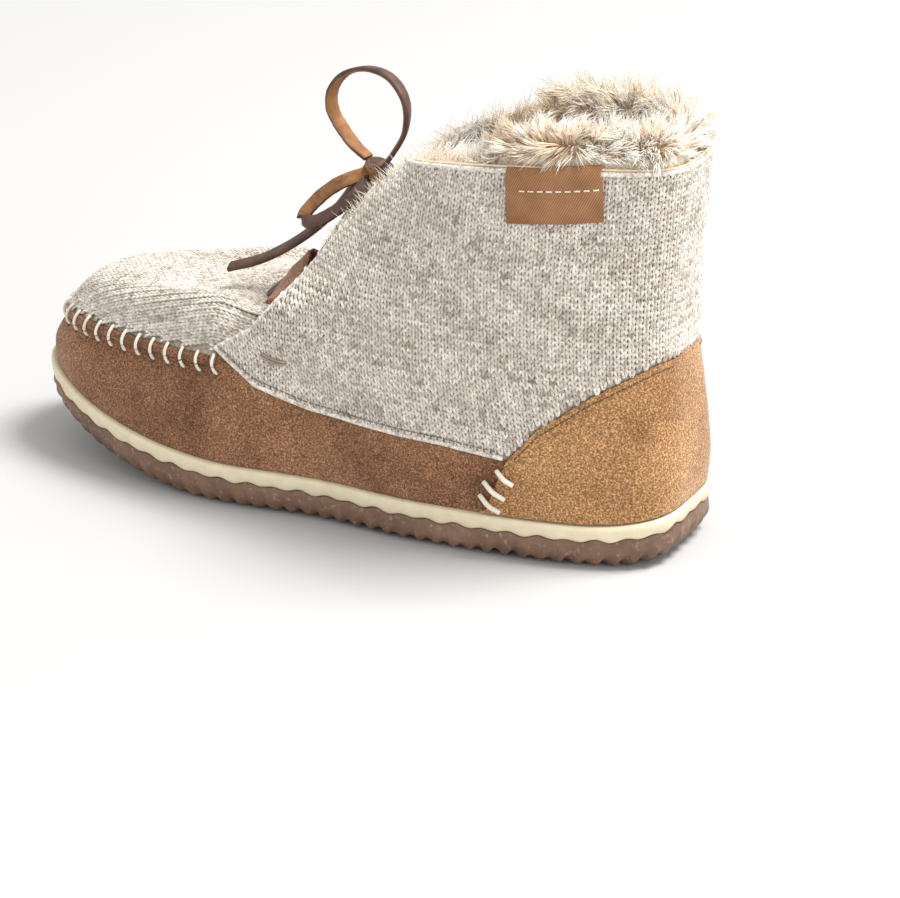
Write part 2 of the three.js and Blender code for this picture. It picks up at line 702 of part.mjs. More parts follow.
// Bow: the knot, two loops and two ends, by points placed by hand from the knot's middle
const knotMiddle = [-0.0246 * length, -1, heightAt(0.817)];
const knotRadii = [6.2, 5.5, 4.4];
const bow = {
  lace_loop_up: {
    points: [
      [4.5, -1, 3.8], [10.5, -2, 7.4], [16.5, -3, 13.4], [20.5, -4, 19.4], [20.5, -5, 26.4],
      [14.5, -4, 33.4], [3.5, -1, 37.4], [-7.5, 3, 36.4], [-14.5, 6, 29.4], [-13.5, 5, 18.4],
      [-7.5, 3, 8.4], [-3.5, 2, 3.4],
    ],
    across: [
      [0.4, 0.9, 0.2], [0.6, 0.8, 0], [0.4, 0.9, 0], [0, 1, 0.2], [0, 1, 0.1], [-0.3, 1, 0], [-0.2, 1, 0.1],
    ],
  },
  lace_loop_front: {
    points: [
      [6.5, 6.2, -1.6], [12.5, 8.5, -4.6], [19.5, 10, -10.6], [24.5, 12, -17.6], [18.5, 15, -17.6],
      [10.5, 15, -12.6], [3.5, 12, -6.6],
    ],
    across: [
      [0.2, -0.6, 0.8], [0.5, -0.5, 0.8], [0.6, -0.4, 0.8], [0.6, -0.5, 0.6], [0.4, -0.6, 0.6],
      [0.2, -0.6, 0.8],
    ],
  },
  lace_end_outer: {
    points: [
      [7, 4, -4.6], [14.5, 8, -15.6], [26.5, 11, -26.6], [40.5, 13, -35.6], [54.5, 14, -41.1],
    ],
    across: [[0.3, -0.8, 0.4], [0.3, -0.9, 0.4], [0.3, -0.9, 0.3], [0.3, -0.9, 0.2]],
  },
  lace_end_inner: {
    points: [
      [0.5, -6, -1.1], [4.5, -14, -4.6], [10.5, -24, -11.6], [15.5, -33, -21.6], [19.5, -39, -33.6],
      [21.5, -43, -47.6],
    ],
    across: [[1, 0.2, 0.2], [1, 0.3, 0.1], [1, 0.3, 0], [1, 0.2, 0]],
  },
};

function knotBody() {
  const knot = new THREE.IcosahedronGeometry(1, 1);
  knot.scale(...knotRadii);
  knot.translate(...knotMiddle);
  return solid(knot);
}

const boot = new THREE.Group();

function add(name, body, color, roughness) {
  const material = new THREE.MeshStandardMaterial({ color, roughness, metalness: 0 });
  const geometry = body instanceof THREE.BufferGeometry ? body : geometryOf(body);
  const mesh = new THREE.Mesh(geometry, material);
  mesh.name = name;
  boot.add(mesh);
}

const suede = 0xb97b3f;
const knit = 0xcfc4b4;
add("outsole", outsoleBody(), 0x6b4a33, 0.6);
add("midsole", loft(bandRings.map(soleRing), false), 0xd9c9a3, 0.7);
add("insole", insoleBody(), 0xe9e0cf, 1);
add("upper", upperBody(), suede, 0.95);
add("quarter", quarterBody(), knit, 1);
add("heel_counter", counterBody(), suede, 0.95);
add("vamp_plug", plugBody(), knit, 1);
add("tongue", tongueBody(), knit, 1);
add("fur_lining", cuffBody(), 0xefe7d8, 1);
add("label_tab", labelBody(), 0x9a5a2b, 0.9);
for (const [name, tab] of Object.entries(tabs)) {
  add(`lace_tab_${name}_outer`, tabBody(tab, 1), suede, 0.95);
  add(`lace_tab_${name}_inner`, tabBody(tab, -1), suede, 0.95);
}
const thong = 0x5a3a28;
add("lace_bars", laceBarsBody(), thong, 0.8);
add("lace_knot", knotBody(), thong, 0.8);
for (const [name, { points, across }] of Object.entries(bow)) {
  add(name, laceStrip(points, across), thong, 0.8);
}

export default boot;
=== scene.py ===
# %% [markdown]
# # A soft ankle boot
#
# This lesson dresses the measured solids of one left ankle boot. The boot has a suede shell
# with a moccasin toe, a knitted ankle and toe top, a deep pale pile cuff, a leather lace tied
# in a bow, a wavy foam band and a nubbed gum sole. The pieces made here lie on the surface
# that the solids were made on, so they fit over them.

import math

import bmesh
import bpy
import numpy as np
from mathutils import Matrix, Vector
from mathutils.bvhtree import BVHTree


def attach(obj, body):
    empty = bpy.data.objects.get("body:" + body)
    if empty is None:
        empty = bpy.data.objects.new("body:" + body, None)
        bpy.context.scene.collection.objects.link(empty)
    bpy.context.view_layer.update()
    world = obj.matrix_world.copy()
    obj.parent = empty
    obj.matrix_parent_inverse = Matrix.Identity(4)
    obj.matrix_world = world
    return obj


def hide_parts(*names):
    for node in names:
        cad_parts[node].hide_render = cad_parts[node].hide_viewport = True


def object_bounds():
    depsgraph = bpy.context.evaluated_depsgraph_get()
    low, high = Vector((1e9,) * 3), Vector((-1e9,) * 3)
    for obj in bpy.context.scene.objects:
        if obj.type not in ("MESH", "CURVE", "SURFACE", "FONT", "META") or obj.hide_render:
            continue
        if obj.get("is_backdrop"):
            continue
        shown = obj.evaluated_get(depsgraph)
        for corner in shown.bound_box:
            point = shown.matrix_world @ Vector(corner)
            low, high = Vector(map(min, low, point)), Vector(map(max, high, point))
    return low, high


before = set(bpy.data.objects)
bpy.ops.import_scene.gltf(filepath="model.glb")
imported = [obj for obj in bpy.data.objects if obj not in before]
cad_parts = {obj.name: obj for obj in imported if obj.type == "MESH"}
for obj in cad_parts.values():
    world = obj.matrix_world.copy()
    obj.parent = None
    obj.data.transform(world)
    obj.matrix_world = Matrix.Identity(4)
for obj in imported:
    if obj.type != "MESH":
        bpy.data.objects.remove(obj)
solid_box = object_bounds()
MM = 0.001
SIDES = (("outer", 1), ("inner", -1))
rng = np.random.default_rng(11)
print("nodes", sorted(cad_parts))

# %% [markdown]
# The camera comes first. It stands about 1.7 m away on the outer side, a little behind the
# heel and above the boot, with a long lens, as for a shop picture. The numbers come from
# fitting known points of the boot to where they lie in the picture.

# %% Camera
EYE = Vector((-740.4, 1400.6, 686.5))  # mm
PICTURE_WIDTH, PICTURE_MIDDLE = 900, (450, 449)  # pixels
FOCUS = 4671.56  # how far the picture's plane lies from the eye, in pixels

camera_data = bpy.data.cameras.new("camera")
camera = bpy.data.objects.new("camera", camera_data)
bpy.context.scene.collection.objects.link(camera)
bpy.context.scene.camera = camera
camera_data.sensor_width = 36.0
camera_data.lens = FOCUS / PICTURE_WIDTH * camera_data.sensor_width
camera_data.clip_start = 0.05
camera_data.clip_end = 20.0
view_right = Vector((-0.8944, -0.4471, -0.0072)).normalized()
view_ahead = Vector((0.4141, -0.8220, -0.3909)).normalized()
view_up = view_right.cross(view_ahead).normalized()
view_right = view_ahead.cross(view_up)
turn = Matrix((view_right, view_up, -view_ahead)).transposed().to_4x4()
camera.matrix_world = Matrix.Translation(EYE * MM) @ turn
print("camera at", tuple(round(v, 3) for v in camera.matrix_world.translation))

# %% [markdown]
# The boot stands on a plain pale floor, so wide that its edge lies far outside the picture.
# One soft lamp stands high behind the heel on the far side, so the pile and the toe's top are
# bright and the near side is in shade. Two weaker ones light the heel and the toe.

# %% Floor and lights
FLOOR_HALF, FLOOR_GREY = 6, 0.50
SKY_STRENGTH = 0.80
AIM = Vector((0, 0, 0.06))
LAMPS = [  # name, place in m, width in m, power in W, colour
    ("key_lamp", (-0.9, -0.45, 2.1), 0.8, 74, (1.0, 0.985, 0.96)),
    ("heel_lamp", (-1.9, 0.8, 0.6), 1.2, 13, (1, 1, 1)),
    ("fill_lamp", (1.2, 1.7, 1.0), 1.8, 5, (1, 1, 1)),
]


def link(name, bm, *materials):
    mesh = bpy.data.meshes.new(name)
    bm.to_mesh(mesh)
    bm.free()
    mesh.shade_smooth()
    piece = bpy.data.objects.new(name, mesh)
    bpy.context.scene.collection.objects.link(piece)
    for material in materials:
        mesh.materials.append(material)
    return piece


def dress(piece, node=None):
    """Every piece of the boot rides on its one body. Some stand for a node of the solids."""
    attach(piece, "root")
    if node:
        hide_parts(node)
    return piece


floor_material = bpy.data.materials.new("pale_floor")
floor_material.use_nodes = True
floor_shader = floor_material.node_tree.nodes["Principled BSDF"]
floor_shader.inputs["Base Color"].default_value = (FLOOR_GREY, FLOOR_GREY, FLOOR_GREY, 1)
floor_shader.inputs["Roughness"].default_value = 0.8
bm = bmesh.new()
bmesh.ops.create_grid(bm, x_segments=2, y_segments=2, size=FLOOR_HALF)
link("floor", bm, floor_material)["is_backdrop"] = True

world = bpy.data.worlds.new("studio")
bpy.context.scene.world = world
world.use_nodes = True
world.node_tree.nodes["Background"].inputs["Color"].default_value = (1.0, 1.0, 1.0, 1)
world.node_tree.nodes["Background"].inputs["Strength"].default_value = SKY_STRENGTH

for name, place, size, power, colour in LAMPS:
    data = bpy.data.lights.new(name, "AREA")
    data.size = size
    data.energy = power
    data.color = colour
    lamp = bpy.data.objects.new(name, data)
    bpy.context.scene.collection.objects.link(lamp)
    lamp.location = place
    lamp.rotation_euler = (AIM - Vector(place)).to_track_quat("-Z", "Y").to_euler()
bpy.context.scene.view_settings.view_transform = "Standard"
bpy.context.scene.view_settings.look = "None"

# %% [markdown]
# Everything but the sole follows one smooth surface, the last that the boot is made on. A
# short table of loops describes it, from the feather edge on the sole (t = 0) to the collar
# (t = 1). It is the same table that the solids use. Here it is sampled once on a fine net,
# and every piece looks up its places and its outward directions there. Lengths are in mm.

# %% The last's surface
LENGTH = 264.0
BALL = 46.3  # half width at the ball of the foot
OUTSOLE, BAND, GAP = 10.4, 5.6, 0.3
BASE = OUTSOLE + BAND + 2 * GAP
RISE = 147.5 - BASE
TOE_SPRING, HEEL_LIFT, TOE_SWING = 18.3, 3.4, 9.4
# t, back, front, zBack, zSide, zFront, lift, heel, arch, waist, ball, toe, roundBack, roundFront
LOOPS = np.array([
    (0.00, -.4917, .4917, 0.000, 0.000, 0.000, 1.0, .908, .884, .808, .920, .952, .46, .63),
    (0.12, -.4970, .4930, 0.102, 0.099, 0.055, 0.9, .930, .915, .850, .945, .960, .50, .64),
    (0.24, -.4940, .4860, 0.217, 0.199, 0.149, 0.5, .935, .920, .850, .910, .900, .53, .66),
    (0.36, -.4890, .4730, 0.332, 0.298, 0.251, 0.0, .930, .905, .840, .830, .790, .56, .68),
    (0.46, -.4850, .4250, 0.423, 0.395, 0.362, 0.0, .915, .880, .825, .805, .720, .60, .66),
    (0.56, -.4840, .3220, 0.522, 0.488, 0.408, 0.0, .890, .860, .815, .800, .745, .62, .70),
    (0.66, -.4860, .2150, 0.615, 0.565, 0.420, 0.0, .860, .840, .810, .810, .780, .64, .74),
    (0.76, -.4900, .1290, 0.728, 0.652, 0.478, 0.0, .810, .820, .800, .790, .760, .66, .76),
    (0.88, -.4960, .0227, 0.870, 0.805, 0.691, 0.0, .770, .790, .785, .765, .730, .68, .80),
    (1.00, -.5000, -.0910, 1.000, 1.001, 0.908, 0.0, .745, .785, .790, .775, .735, .70, .80),
])
STATIONS = np.array([0, 0.15, 0.35, 0.5, 0.68, 0.85, 1])
T_NET = np.linspace(0, 1, 201)
A_NET = np.linspace(0, 2 * np.pi, 721)


def monotone(knots, values):
    """A smooth curve through the values that doesn't swing past them."""
    knots = np.asarray(knots, float)
    values = np.asarray(values, float)
    slope = np.diff(values) / np.diff(knots)
    product = slope[:-1] * slope[1:]
    total = np.where(product > 0, slope[:-1] + slope[1:], 1)
    inner = np.where(product > 0, 2 * product / total, 0)
    tangent = np.concatenate([slope[:1], inner, slope[-1:]])

    def at(x):
        x = np.clip(x, knots[0], knots[-1])
        i = np.clip(np.searchsorted(knots, x) - 1, 0, len(knots) - 2)
        h = knots[i + 1] - knots[i]
        u = (x - knots[i]) / h
        v = 1 - u
        return (values[i] * (1 + 2 * u) * v * v + values[i + 1] * (3 - 2 * u) * u * u
                + tangent[i] * h * u * v * v - tangent[i + 1] * h * v * u * u)

    return at


def smoothstep(start, end, x):
    u = np.clip((x - start) / (end - start), 0, 1)
    return u * u * (3 - 2 * u)


def unit(v):
    return v / np.maximum(np.linalg.norm(v, axis=-1, keepdims=True), 1e-9)


def arc(points):
    """How far along a line of points each of them lies."""
    steps = np.linalg.norm(np.diff(points, axis=0), axis=1)
    return np.concatenate([[0], np.cumsum(steps)])


def places_at(at, run, points, **ends):
    return np.stack([np.interp(at, run, points[:, k], **ends) for k in range(3)], axis=1)


inner_hollow = monotone(STATIONS, [0, 0, 0.06, 0.09, 0.03, 0, 0])
columns = [monotone(LOOPS[:, 0], LOOPS[:, i]) for i in range(1, 14)]


def lift(x):
    s = x / LENGTH + 0.5
    toe = np.clip((s - 0.62) / 0.38, 0, 1)
    heel = np.clip((0.12 - s) / 0.12, 0, 1)
    return TOE_SPRING * toe ** 2 + HEEL_LIFT * heel ** 2


def swing_in(x):
    """How far the toe turns to the inner side at x."""
    return TOE_SWING * np.clip(x / (LENGTH / 2), 0, 1) ** 2


def ring_point(angle, back, front, widths, round_back, round_front):
    s = (1 + np.cos(angle)) / 2
    x = back + (front - back) * s
    power = round_front + (round_back - round_front) * (1 - s)
    width = monotone(STATIONS, widths)(s)
    half = np.where(np.sin(angle) >= 0, width, -(width - inner_hollow(s) * BALL))
    return x, half * np.abs(np.sin(angle)) ** power - swing_in(x), s


net = np.zeros((len(T_NET), len(A_NET), 3))
for j, t in enumerate(T_NET):
    back, front, z_back, z_side, z_front, rise, *w, r_back, r_front = [c(t) for c in columns]
    w = np.array(w) * BALL
    widths = [w[0] * 0.98, *w, w[4] * 0.97]
    x, y, s = ring_point(A_NET, back * LENGTH, front * LENGTH, widths, r_back, r_front)
    z = (z_back * (1 - s) * (1 - 2 * s) + z_side * 4 * s * (1 - s) + z_front * s * (2 * s - 1))
    net[j] = np.stack([x, y, BASE + z * RISE + rise * lift(x)], axis=1)
net[:, -1] = net[:, 0]
around = np.roll(net[:, :-1], -1, axis=1) - np.roll(net[:, :-1], 1, axis=1)
around = np.concatenate([around, around[:, :1]], axis=1)
net_out = unit(np.cross(around, np.gradient(net, axis=0)))


def between(table, across, up):
    """Value of a table between its rows and columns."""
    i = np.clip(across.astype(int), 0, table.shape[1] - 2)
    j = np.clip(up.astype(int), 0, table.shape[0] - 2)
    u, v = across - i, up - j
    if table.ndim == 3:
        u, v = u[..., None], v[..., None]
    return ((table[j, i] * (1 - u) + table[j, i + 1] * u) * (1 - v)
            + (table[j + 1, i] * (1 - u) + table[j + 1, i + 1] * u) * v)


def look_up(table, angle, t):
    across = np.mod(angle, 2 * np.pi) / (2 * np.pi) * (len(A_NET) - 1)
    return between(table, across, np.clip(t, 0, 1) * (len(T_NET) - 1))


def skin(angle, t, height=0.0):
    """Places on the last, or at a height over it."""
    angle, t = np.broadcast_arrays(np.asarray(angle, float), np.asarray(t, float))
    out = unit(look_up(net_out, angle, t))
    return look_up(net, angle, t) + out * np.asarray(height)[..., None]


def x_at(angle, t):
    return look_up(net, angle, t)[..., 0]


print("last", net.reshape(-1, 3).min(0).round(1), net.reshape(-1, 3).max(0).round(1))

# %% [markdown]
# The pieces of the upper are cut by lines drawn on the boot's side. Each line is a list of
# places, x along the boot as a share of its length and z as a share of the upper's rise. For
# each direction round the boot, a piece then runs from one line's height to another's.

# %% Cutting lines
PLUG_REAR = 0.160 * LENGTH
SEAM = 0.36  # t of the moccasin seam
PLUG_EDGE = SEAM + 0.003


def line(*rows):
    rows = np.array(rows)
    order = np.argsort(rows[:, 0])
    return rows[order, 0] * LENGTH, BASE + rows[order, 1] * RISE


throat = line((0.160, .331), (0.102, .405), (0.068, .488), (0.030, .584), (-0.008, .683),
              (-0.048, .789), (-0.079, .856), (-0.114, .908))
hem = line((-0.291, .170), (-0.197, .191), (-0.080, .202), (0.005, .215), (0.091, .250),
           (0.160, .331))
counter_top = line((-0.291, .170), (-0.333, .268), (-0.401, .371), (-0.470, .450),
                   (-0.560, .484))
THROAT_REAR = throat[0][0]


def throat_z(x):
    return np.interp(x, *throat)


def hem_z(x):
    return np.where(x < hem[0][0], np.interp(x, *counter_top), np.interp(x, *hem))


def t_where(test):
    """First t, going up at each direction of the net, where the test of x, z and t holds."""
    points = look_up(net, A_NET[None, :], T_NET[:, None] * np.ones_like(A_NET)[None, :])
    hits = test(points[..., 0], points[..., 2], T_NET[:, None])
    return np.where(hits.any(axis=0), T_NET[np.argmax(hits, axis=0)], 1.0)


# %% [markdown]
# The knit of the ankle runs straight up, so its pieces are laid out on level sections. Here s
# is the way round the boot from the middle of the heel, less than 0 on the outer side, and z
# is the height. Two tables turn s and z into a direction and a share of the rise.

# %% Level sections
S_GRID = np.arange(-232.0, 233.0)
Z_GRID = np.arange(30.0, 152.0)
Z_STEP = 0.5
heights = np.arange(32, 151.5, Z_STEP)[:, None]


def section(z):
    t = np.array([np.interp(z, net[:, i, 2], T_NET) for i in range(len(A_NET))])
    run = arc(look_up(net, A_NET, t))
    return t, run - run[len(A_NET) // 2]


sections = [section(z) for z in Z_GRID]
angle_table = np.array([np.interp(S_GRID, run, A_NET) for t, run in sections])
t_table = np.array([np.interp(S_GRID, run, t) for t, run in sections])


def level(s, z):
    """Direction and share of the rise at the way s round the level section at height z."""
    s, z = np.broadcast_arrays(np.asarray(s, float), np.asarray(z, float))
    across = np.clip(s - S_GRID[0], 0, len(S_GRID) - 1.001)
    up = np.clip(z - Z_GRID[0], 0, len(Z_GRID) - 1.001)
    return between(angle_table, across, up), between(t_table, across, up)


def first_crossing(values):
    """Height at which each column's values first rise above 0."""
    above_zero = values > 0
    first = np.where(above_zero.any(axis=0), np.maximum(np.argmax(above_zero, axis=0), 1),
                     len(heights) - 1)
    column = np.arange(values.shape[1])
    low, high = values[first - 1, column], values[first, column]
    share = np.clip(-low / np.where(high == low, 1, high - low), 0, 1)
    return heights[first - 1, 0] + Z_STEP * share


grid_angle, grid_t = level(S_GRID[None, :], heights)
grid_x = x_at(grid_angle, grid_t)
knit_low = first_crossing(heights - hem_z(grid_x))
over_throat = np.where(grid_x > THROAT_REAR, (heights - throat_z(grid_x)) / 100, -1)
knit_high = np.maximum(first_crossing(np.maximum(grid_t - 0.997, over_throat)), knit_low)
spans = knit_high > knit_low + 0.3
S_OUT, S_IN = S_GRID[spans][0] - 1, S_GRID[spans][-1] + 1
hem_angle, hem_t = level(S_GRID, knit_low)
print("quarter runs from", S_OUT, "to", S_IN, "mm")


def low_at(s):
    return np.interp(s, S_GRID, knit_low)


def high_at(s):
    return np.interp(s, S_GRID, knit_high)


# %% [markdown]
# Materials come next. Each one is a small net of nodes that read the piece's own coordinates,
# so a pattern stays on its piece. A helper adds a noise, a colour ramp and a bump, because
# every finish here is a mix of those three.

# %% Material helpers
class Finish:
    """A new material, with short ways to add the nodes that it is made of."""

    def __init__(self, name, roughness, sheen=0.0, specular=0.3):
        self.material = bpy.data.materials.new(name)
        self.material.use_nodes = True
        self.nodes = self.material.node_tree.nodes
        self.link = self.material.node_tree.links.new
        self.inputs = self.nodes["Principled BSDF"].inputs
        self.inputs["Roughness"].default_value = roughness
        self.inputs["Specular IOR Level"].default_value = specular
        self.inputs["Sheen Weight"].default_value = sheen
        self.inputs["Sheen Roughness"].default_value = 0.4

    def add(self, kind, **values):
        node = self.nodes.new(kind)
        for socket, value in values.items():
            node.inputs[socket].default_value = value
        return node

    def noise(self, scale, detail=3.0, roughness=0.55):
        place = self.add("ShaderNodeTexCoord")
        node = self.add("ShaderNodeTexNoise", Scale=scale, Detail=detail, Roughness=roughness)
        self.link(place.outputs["Object"], node.inputs["Vector"])
        return node.outputs["Fac"]

    def ramp(self, value, *stops):
        node = self.add("ShaderNodeValToRGB")
        elements = node.color_ramp.elements
        while len(elements) < len(stops):
            elements.new(0.5)
        for element, (place, colour) in zip(elements, stops):
            element.position = place
            element.color = (*colour, 1)
        self.link(value, node.inputs["Fac"])
        return node.outputs["Color"]

    def mix(self, kind, amount, first, second):
        node = self.add("ShaderNodeMix")
        node.data_type = "RGBA"
        node.blend_type = kind
        node.inputs["Factor"].default_value = amount
        self.link(first, node.inputs["A"])
        self.link(second, node.inputs["B"])
        return node.outputs["Result"]

    def bump(self, height, distance, strength=1.0):
        node = self.add("ShaderNodeBump", Distance=distance, Strength=strength)
        self.link(height, node.inputs["Height"])
        if self.inputs["Normal"].is_linked:
            self.link(self.inputs["Normal"].links[0].from_socket, node.inputs["Normal"])
        self.link(node.outputs["Normal"], self.inputs["Normal"])

    def attribute(self, name):
        node = self.add("ShaderNodeAttribute")
        node.attribute_name = name
        return node.outputs["Fac"]

    def colour(self, value):
        self.link(value, self.inputs["Base Color"])


def grey(value):
    return (value,) * 3


# %% [markdown]
# Suede is the flesh side of leather. Its short nap lies this way and that, so the colour wanders
# between a light and a darker tan in patches a few centimetres wide. A fine speckle lies on top:
# its darker specks are the nap's own tone, and its brightest specks, lifted above the base
# colour, are painted glints of light. There is also a little sheen at grazing angles.

# %% Suede
def suede_finish(name, light, middle, dark):
    f = Finish(name, 0.95, sheen=0.25, specular=0.15)
    patches = f.ramp(f.noise(28, 4, 0.6), (0.3, dark), (0.5, middle), (0.7, light))
    # Fine speckle: partly the nap's own tone, partly painted glints where the ramp goes above 1.
    nap_and_glints = f.ramp(f.noise(1500, 2, 0.75), (0.34, grey(0.26)), (0.52, grey(0.9)),
                 (0.66, grey(2.1)))
    f.colour(f.mix("MULTIPLY", 0.85, patches, nap_and_glints))
    f.bump(f.noise(900, 3, 0.7), 0.0005, 0.7)
    f.bump(f.noise(120, 2, 0.5), 0.0012, 0.35)
    return f.material


suede = suede_finish("suede", (0.34, 0.175, 0.095), (0.245, 0.12, 0.063),
                     (0.145, 0.066, 0.035))
# The heel counter's suede is a lighter copy of the same suede: painted light for the brightly lit
# heel.
lit_counter_suede = suede_finish("heel_suede", (0.50, 0.28, 0.128), (0.42, 0.225, 0.10),
                             (0.31, 0.155, 0.07))

# %% [markdown]
# The knit's yarn is heathered: oat, cream and grey wool spun together with a few tan hairs.
# Each stitch carries its own shade as an attribute, which the stamping code writes, and a streaky
# noise adds the twist of the fibres. The pile is long, pale and soft. Its roots are painted a
# warm tan: painted shade for the depth of the pile, where light that goes in comes out warmer.
# Its tips are nearly white, and tan patches of noise paint more of that deep shade over it.

# %% Yarn and pile
YARN_SHADE = 0.90
YARN_TONES = [(0.00, (0.25, 0.21, 0.175)), (0.22, (0.44, 0.38, 0.325)),
              (0.45, (0.65, 0.58, 0.51)), (0.65, (0.80, 0.735, 0.66)),
              (1.0, (0.92, 0.88, 0.82))]


def yarn_finish():
    f = Finish("yarn", 1.0, sheen=0.3, specular=0.1)
    tones = [(place, tuple(c * YARN_SHADE for c in colour)) for place, colour in YARN_TONES]
    fibres = f.ramp(f.noise(800, 3, 0.7), (0.32, (0.36, 0.33, 0.30)), (0.5, grey(0.95)),
                    (0.68, (1.45, 1.42, 1.36)))
    f.colour(f.mix("MULTIPLY", 0.8, f.ramp(f.attribute("shade"), *tones), fibres))
    f.bump(f.noise(1800, 2, 0.7), 0.0003, 0.8)
    return f.material


def pile_finish():
    f = Finish("pile", 1.0, sheen=0.8, specular=0.05)
    # The warm tan at the roots is painted shade for the depth of the pile.
    along = f.ramp(f.attribute("along"), (0.0, (0.80, 0.60, 0.40)),
                   (0.35, (0.97, 0.87, 0.73)), (0.75, (1.0, 0.98, 0.93)))
    # Tan patches: painted shade of the deep pile, spread at random.
    patches = f.ramp(f.noise(50, 3), (0.36, (0.88, 0.70, 0.50)), (0.56, (1.0, 0.98, 0.94)))
    f.colour(f.mix("MULTIPLY", 0.7, along, patches))
    return f.material


yarn = yarn_finish()
pile = pile_finish()

# %% [markdown]
# Most of the other finishes are two tones of one colour in patches, with a fine grain raised on
# them: the backing under the knit, whose darkness is painted shade between the stitches, the
# fleece, smooth and rough leather, threads and foam.

# %% Two-tone finishes
def two_tone(name, light, dark, roughness, patches, stops, grain, depth, strength=1.0, **shine):
    f = Finish(name, roughness, **shine)
    f.colour(f.ramp(f.noise(*patches), (stops[0], dark), (stops[1], light)))
    f.bump(f.noise(*grain), depth, strength)
    return f.material


def fine_grained(name, light, dark, roughness, grain):
    return two_tone(name, light, dark, roughness, (170, 5, 0.65), (0.32, 0.68),
                    (grain, 3, 0.6), 0.0003, 0.6, specular=0.35)


# The backing's dark tones are painted shade for the gaps between the stitches.
shaded_backing = two_tone("knit_backing", (0.50, 0.44, 0.36), (0.26, 0.215, 0.17), 1.0,
                   (700, 3, 0.7), (0.3, 0.6), (900, 2), 0.0005, specular=0.05)
fleece = two_tone("fleece", (0.97, 0.91, 0.81), (0.78, 0.64, 0.48), 1.0, (180, 4, 0.7),
                  (0.3, 0.65), (260, 4, 0.7), 0.002, sheen=0.3, specular=0.05)
grain_leather = fine_grained("thong_grain", (0.135, 0.068, 0.046), (0.06, 0.03, 0.023), 0.5, 1500)
flesh_leather = fine_grained("thong_flesh", (0.40, 0.20, 0.085), (0.20, 0.09, 0.04), 0.9, 900)
cream_thread = fine_grained("cream_thread", (0.90, 0.85, 0.74), (0.74, 0.67, 0.54), 0.9, 2200)
brown_thread = fine_grained("brown_thread", (0.16, 0.095, 0.055), (0.08, 0.045, 0.03), 0.9, 2200)
grey_thread = fine_grained("grey_thread", (0.26, 0.21, 0.17), (0.15, 0.115, 0.09), 0.9, 2200)
tack_yarn = fine_grained("tack_yarn", (0.42, 0.34, 0.27), (0.27, 0.21, 0.16), 0.9, 2200)
edge_tape = fine_grained("edge_tape", (0.84, 0.70, 0.52), (0.74, 0.58, 0.40), 0.9, 1200)
band_foam = fine_grained("band_foam", (0.78, 0.69, 0.50), (0.70, 0.61, 0.42), 0.7, 700)

# %% [markdown]
# The gum sole is dark and a little glossy, with paler flecks in it. The tab is twill, whose
# ribs run across it at a slant.

# %% Gum and twill
def gum_finish():
    f = Finish("gum", 0.42, specular=0.45)
    base = f.ramp(f.noise(45, 4, 0.6), (0.3, (0.125, 0.066, 0.042)),
                  (0.7, (0.235, 0.135, 0.085)))
    flecks = f.ramp(f.noise(520, 3, 0.6), (0.58, grey(0)), (0.76, (0.42, 0.28, 0.17)))
    f.colour(f.mix("SCREEN", 0.6, base, flecks))
    f.bump(f.noise(210, 2, 0.5), 0.0016, 0.8)
    f.inputs["Subsurface Weight"].default_value = 0.08
    f.inputs["Subsurface Radius"].default_value = (0.003, 0.0015, 0.0008)
    return f.material


def twill_finish():
    f = Finish("twill", 0.85, sheen=0.15, specular=0.2)
    place = f.add("ShaderNodeTexCoord")
    mapping = f.add("ShaderNodeMapping", Rotation=(0, math.radians(28), 0))
    wave = f.add("ShaderNodeTexWave", Scale=430, Distortion=1.0)
    wave.bands_direction = "X"
    f.link(place.outputs["Object"], mapping.inputs["Vector"])
    f.link(mapping.outputs["Vector"], wave.inputs["Vector"])
    ribs = f.ramp(wave.outputs["Fac"], (0.2, grey(0.6)), (0.8, grey(1.15)))
    tone = f.ramp(f.noise(70, 4), (0.3, (0.29, 0.135, 0.06)), (0.7, (0.44, 0.225, 0.11)))
    f.colour(f.mix("MULTIPLY", 0.8, tone, ribs))
    f.bump(wave.outputs["Fac"], 0.0002, 0.8)
    return f.material


gum = gum_finish()
twill = twill_finish()
print("materials", len(bpy.data.materials))

# %% [markdown]
# One helper makes most of the soft pieces. It starts from a flat grid, moves each point to
# its place on the last, and gives the sheet its thickness with Solidify. The grid's u runs
# round the boot and its v runs up.

# %% Sheets from grids
WELD = 1e-7


def move(verts, places):
    for vert, place in zip(verts, places * MM):
        vert.co = place


def grid_shares(verts):
    flat = np.array([v.co for v in verts])
    return (flat[:, 0] + 1) / 2, (flat[:, 1] + 1) / 2


def grid_steps(verts, across, up):
    """Column and row number of each point of a fresh grid."""
    u, v = grid_shares(verts)
    return np.rint(u * across).astype(int), np.rint(v * up).astype(int)


def fitted_sheet(name, across, up, place, materials, node=None, closed=False, wall=0.0,
                 rounded=0.0):
    """A sheet whose second material, if it has one, is on its inner side."""
    bm = bmesh.new()
    bmesh.ops.create_grid(bm, x_segments=across, y_segments=up, size=1)
    move(bm.verts, place(*grid_shares(bm.verts)))
    if closed:
        bmesh.ops.remove_doubles(bm, verts=bm.verts, dist=WELD)
    bmesh.ops.dissolve_degenerate(bm, edges=bm.edges, dist=WELD)
    piece = link(name, bm, *materials)
    if wall:
        thick = piece.modifiers.new("wall", "SOLIDIFY")
        thick.thickness = wall * MM
        thick.offset = -1
        thick.use_even_offset = False
        thick.material_offset = thick.material_offset_rim = len(materials) - 1
    if rounded:
        soft = piece.modifiers.new("edge", "BEVEL")
        soft.width = rounded * MM
        soft.segments = 2
        soft.limit_method = "ANGLE"
        soft.angle_limit = math.radians(50)
    return dress(piece, node)


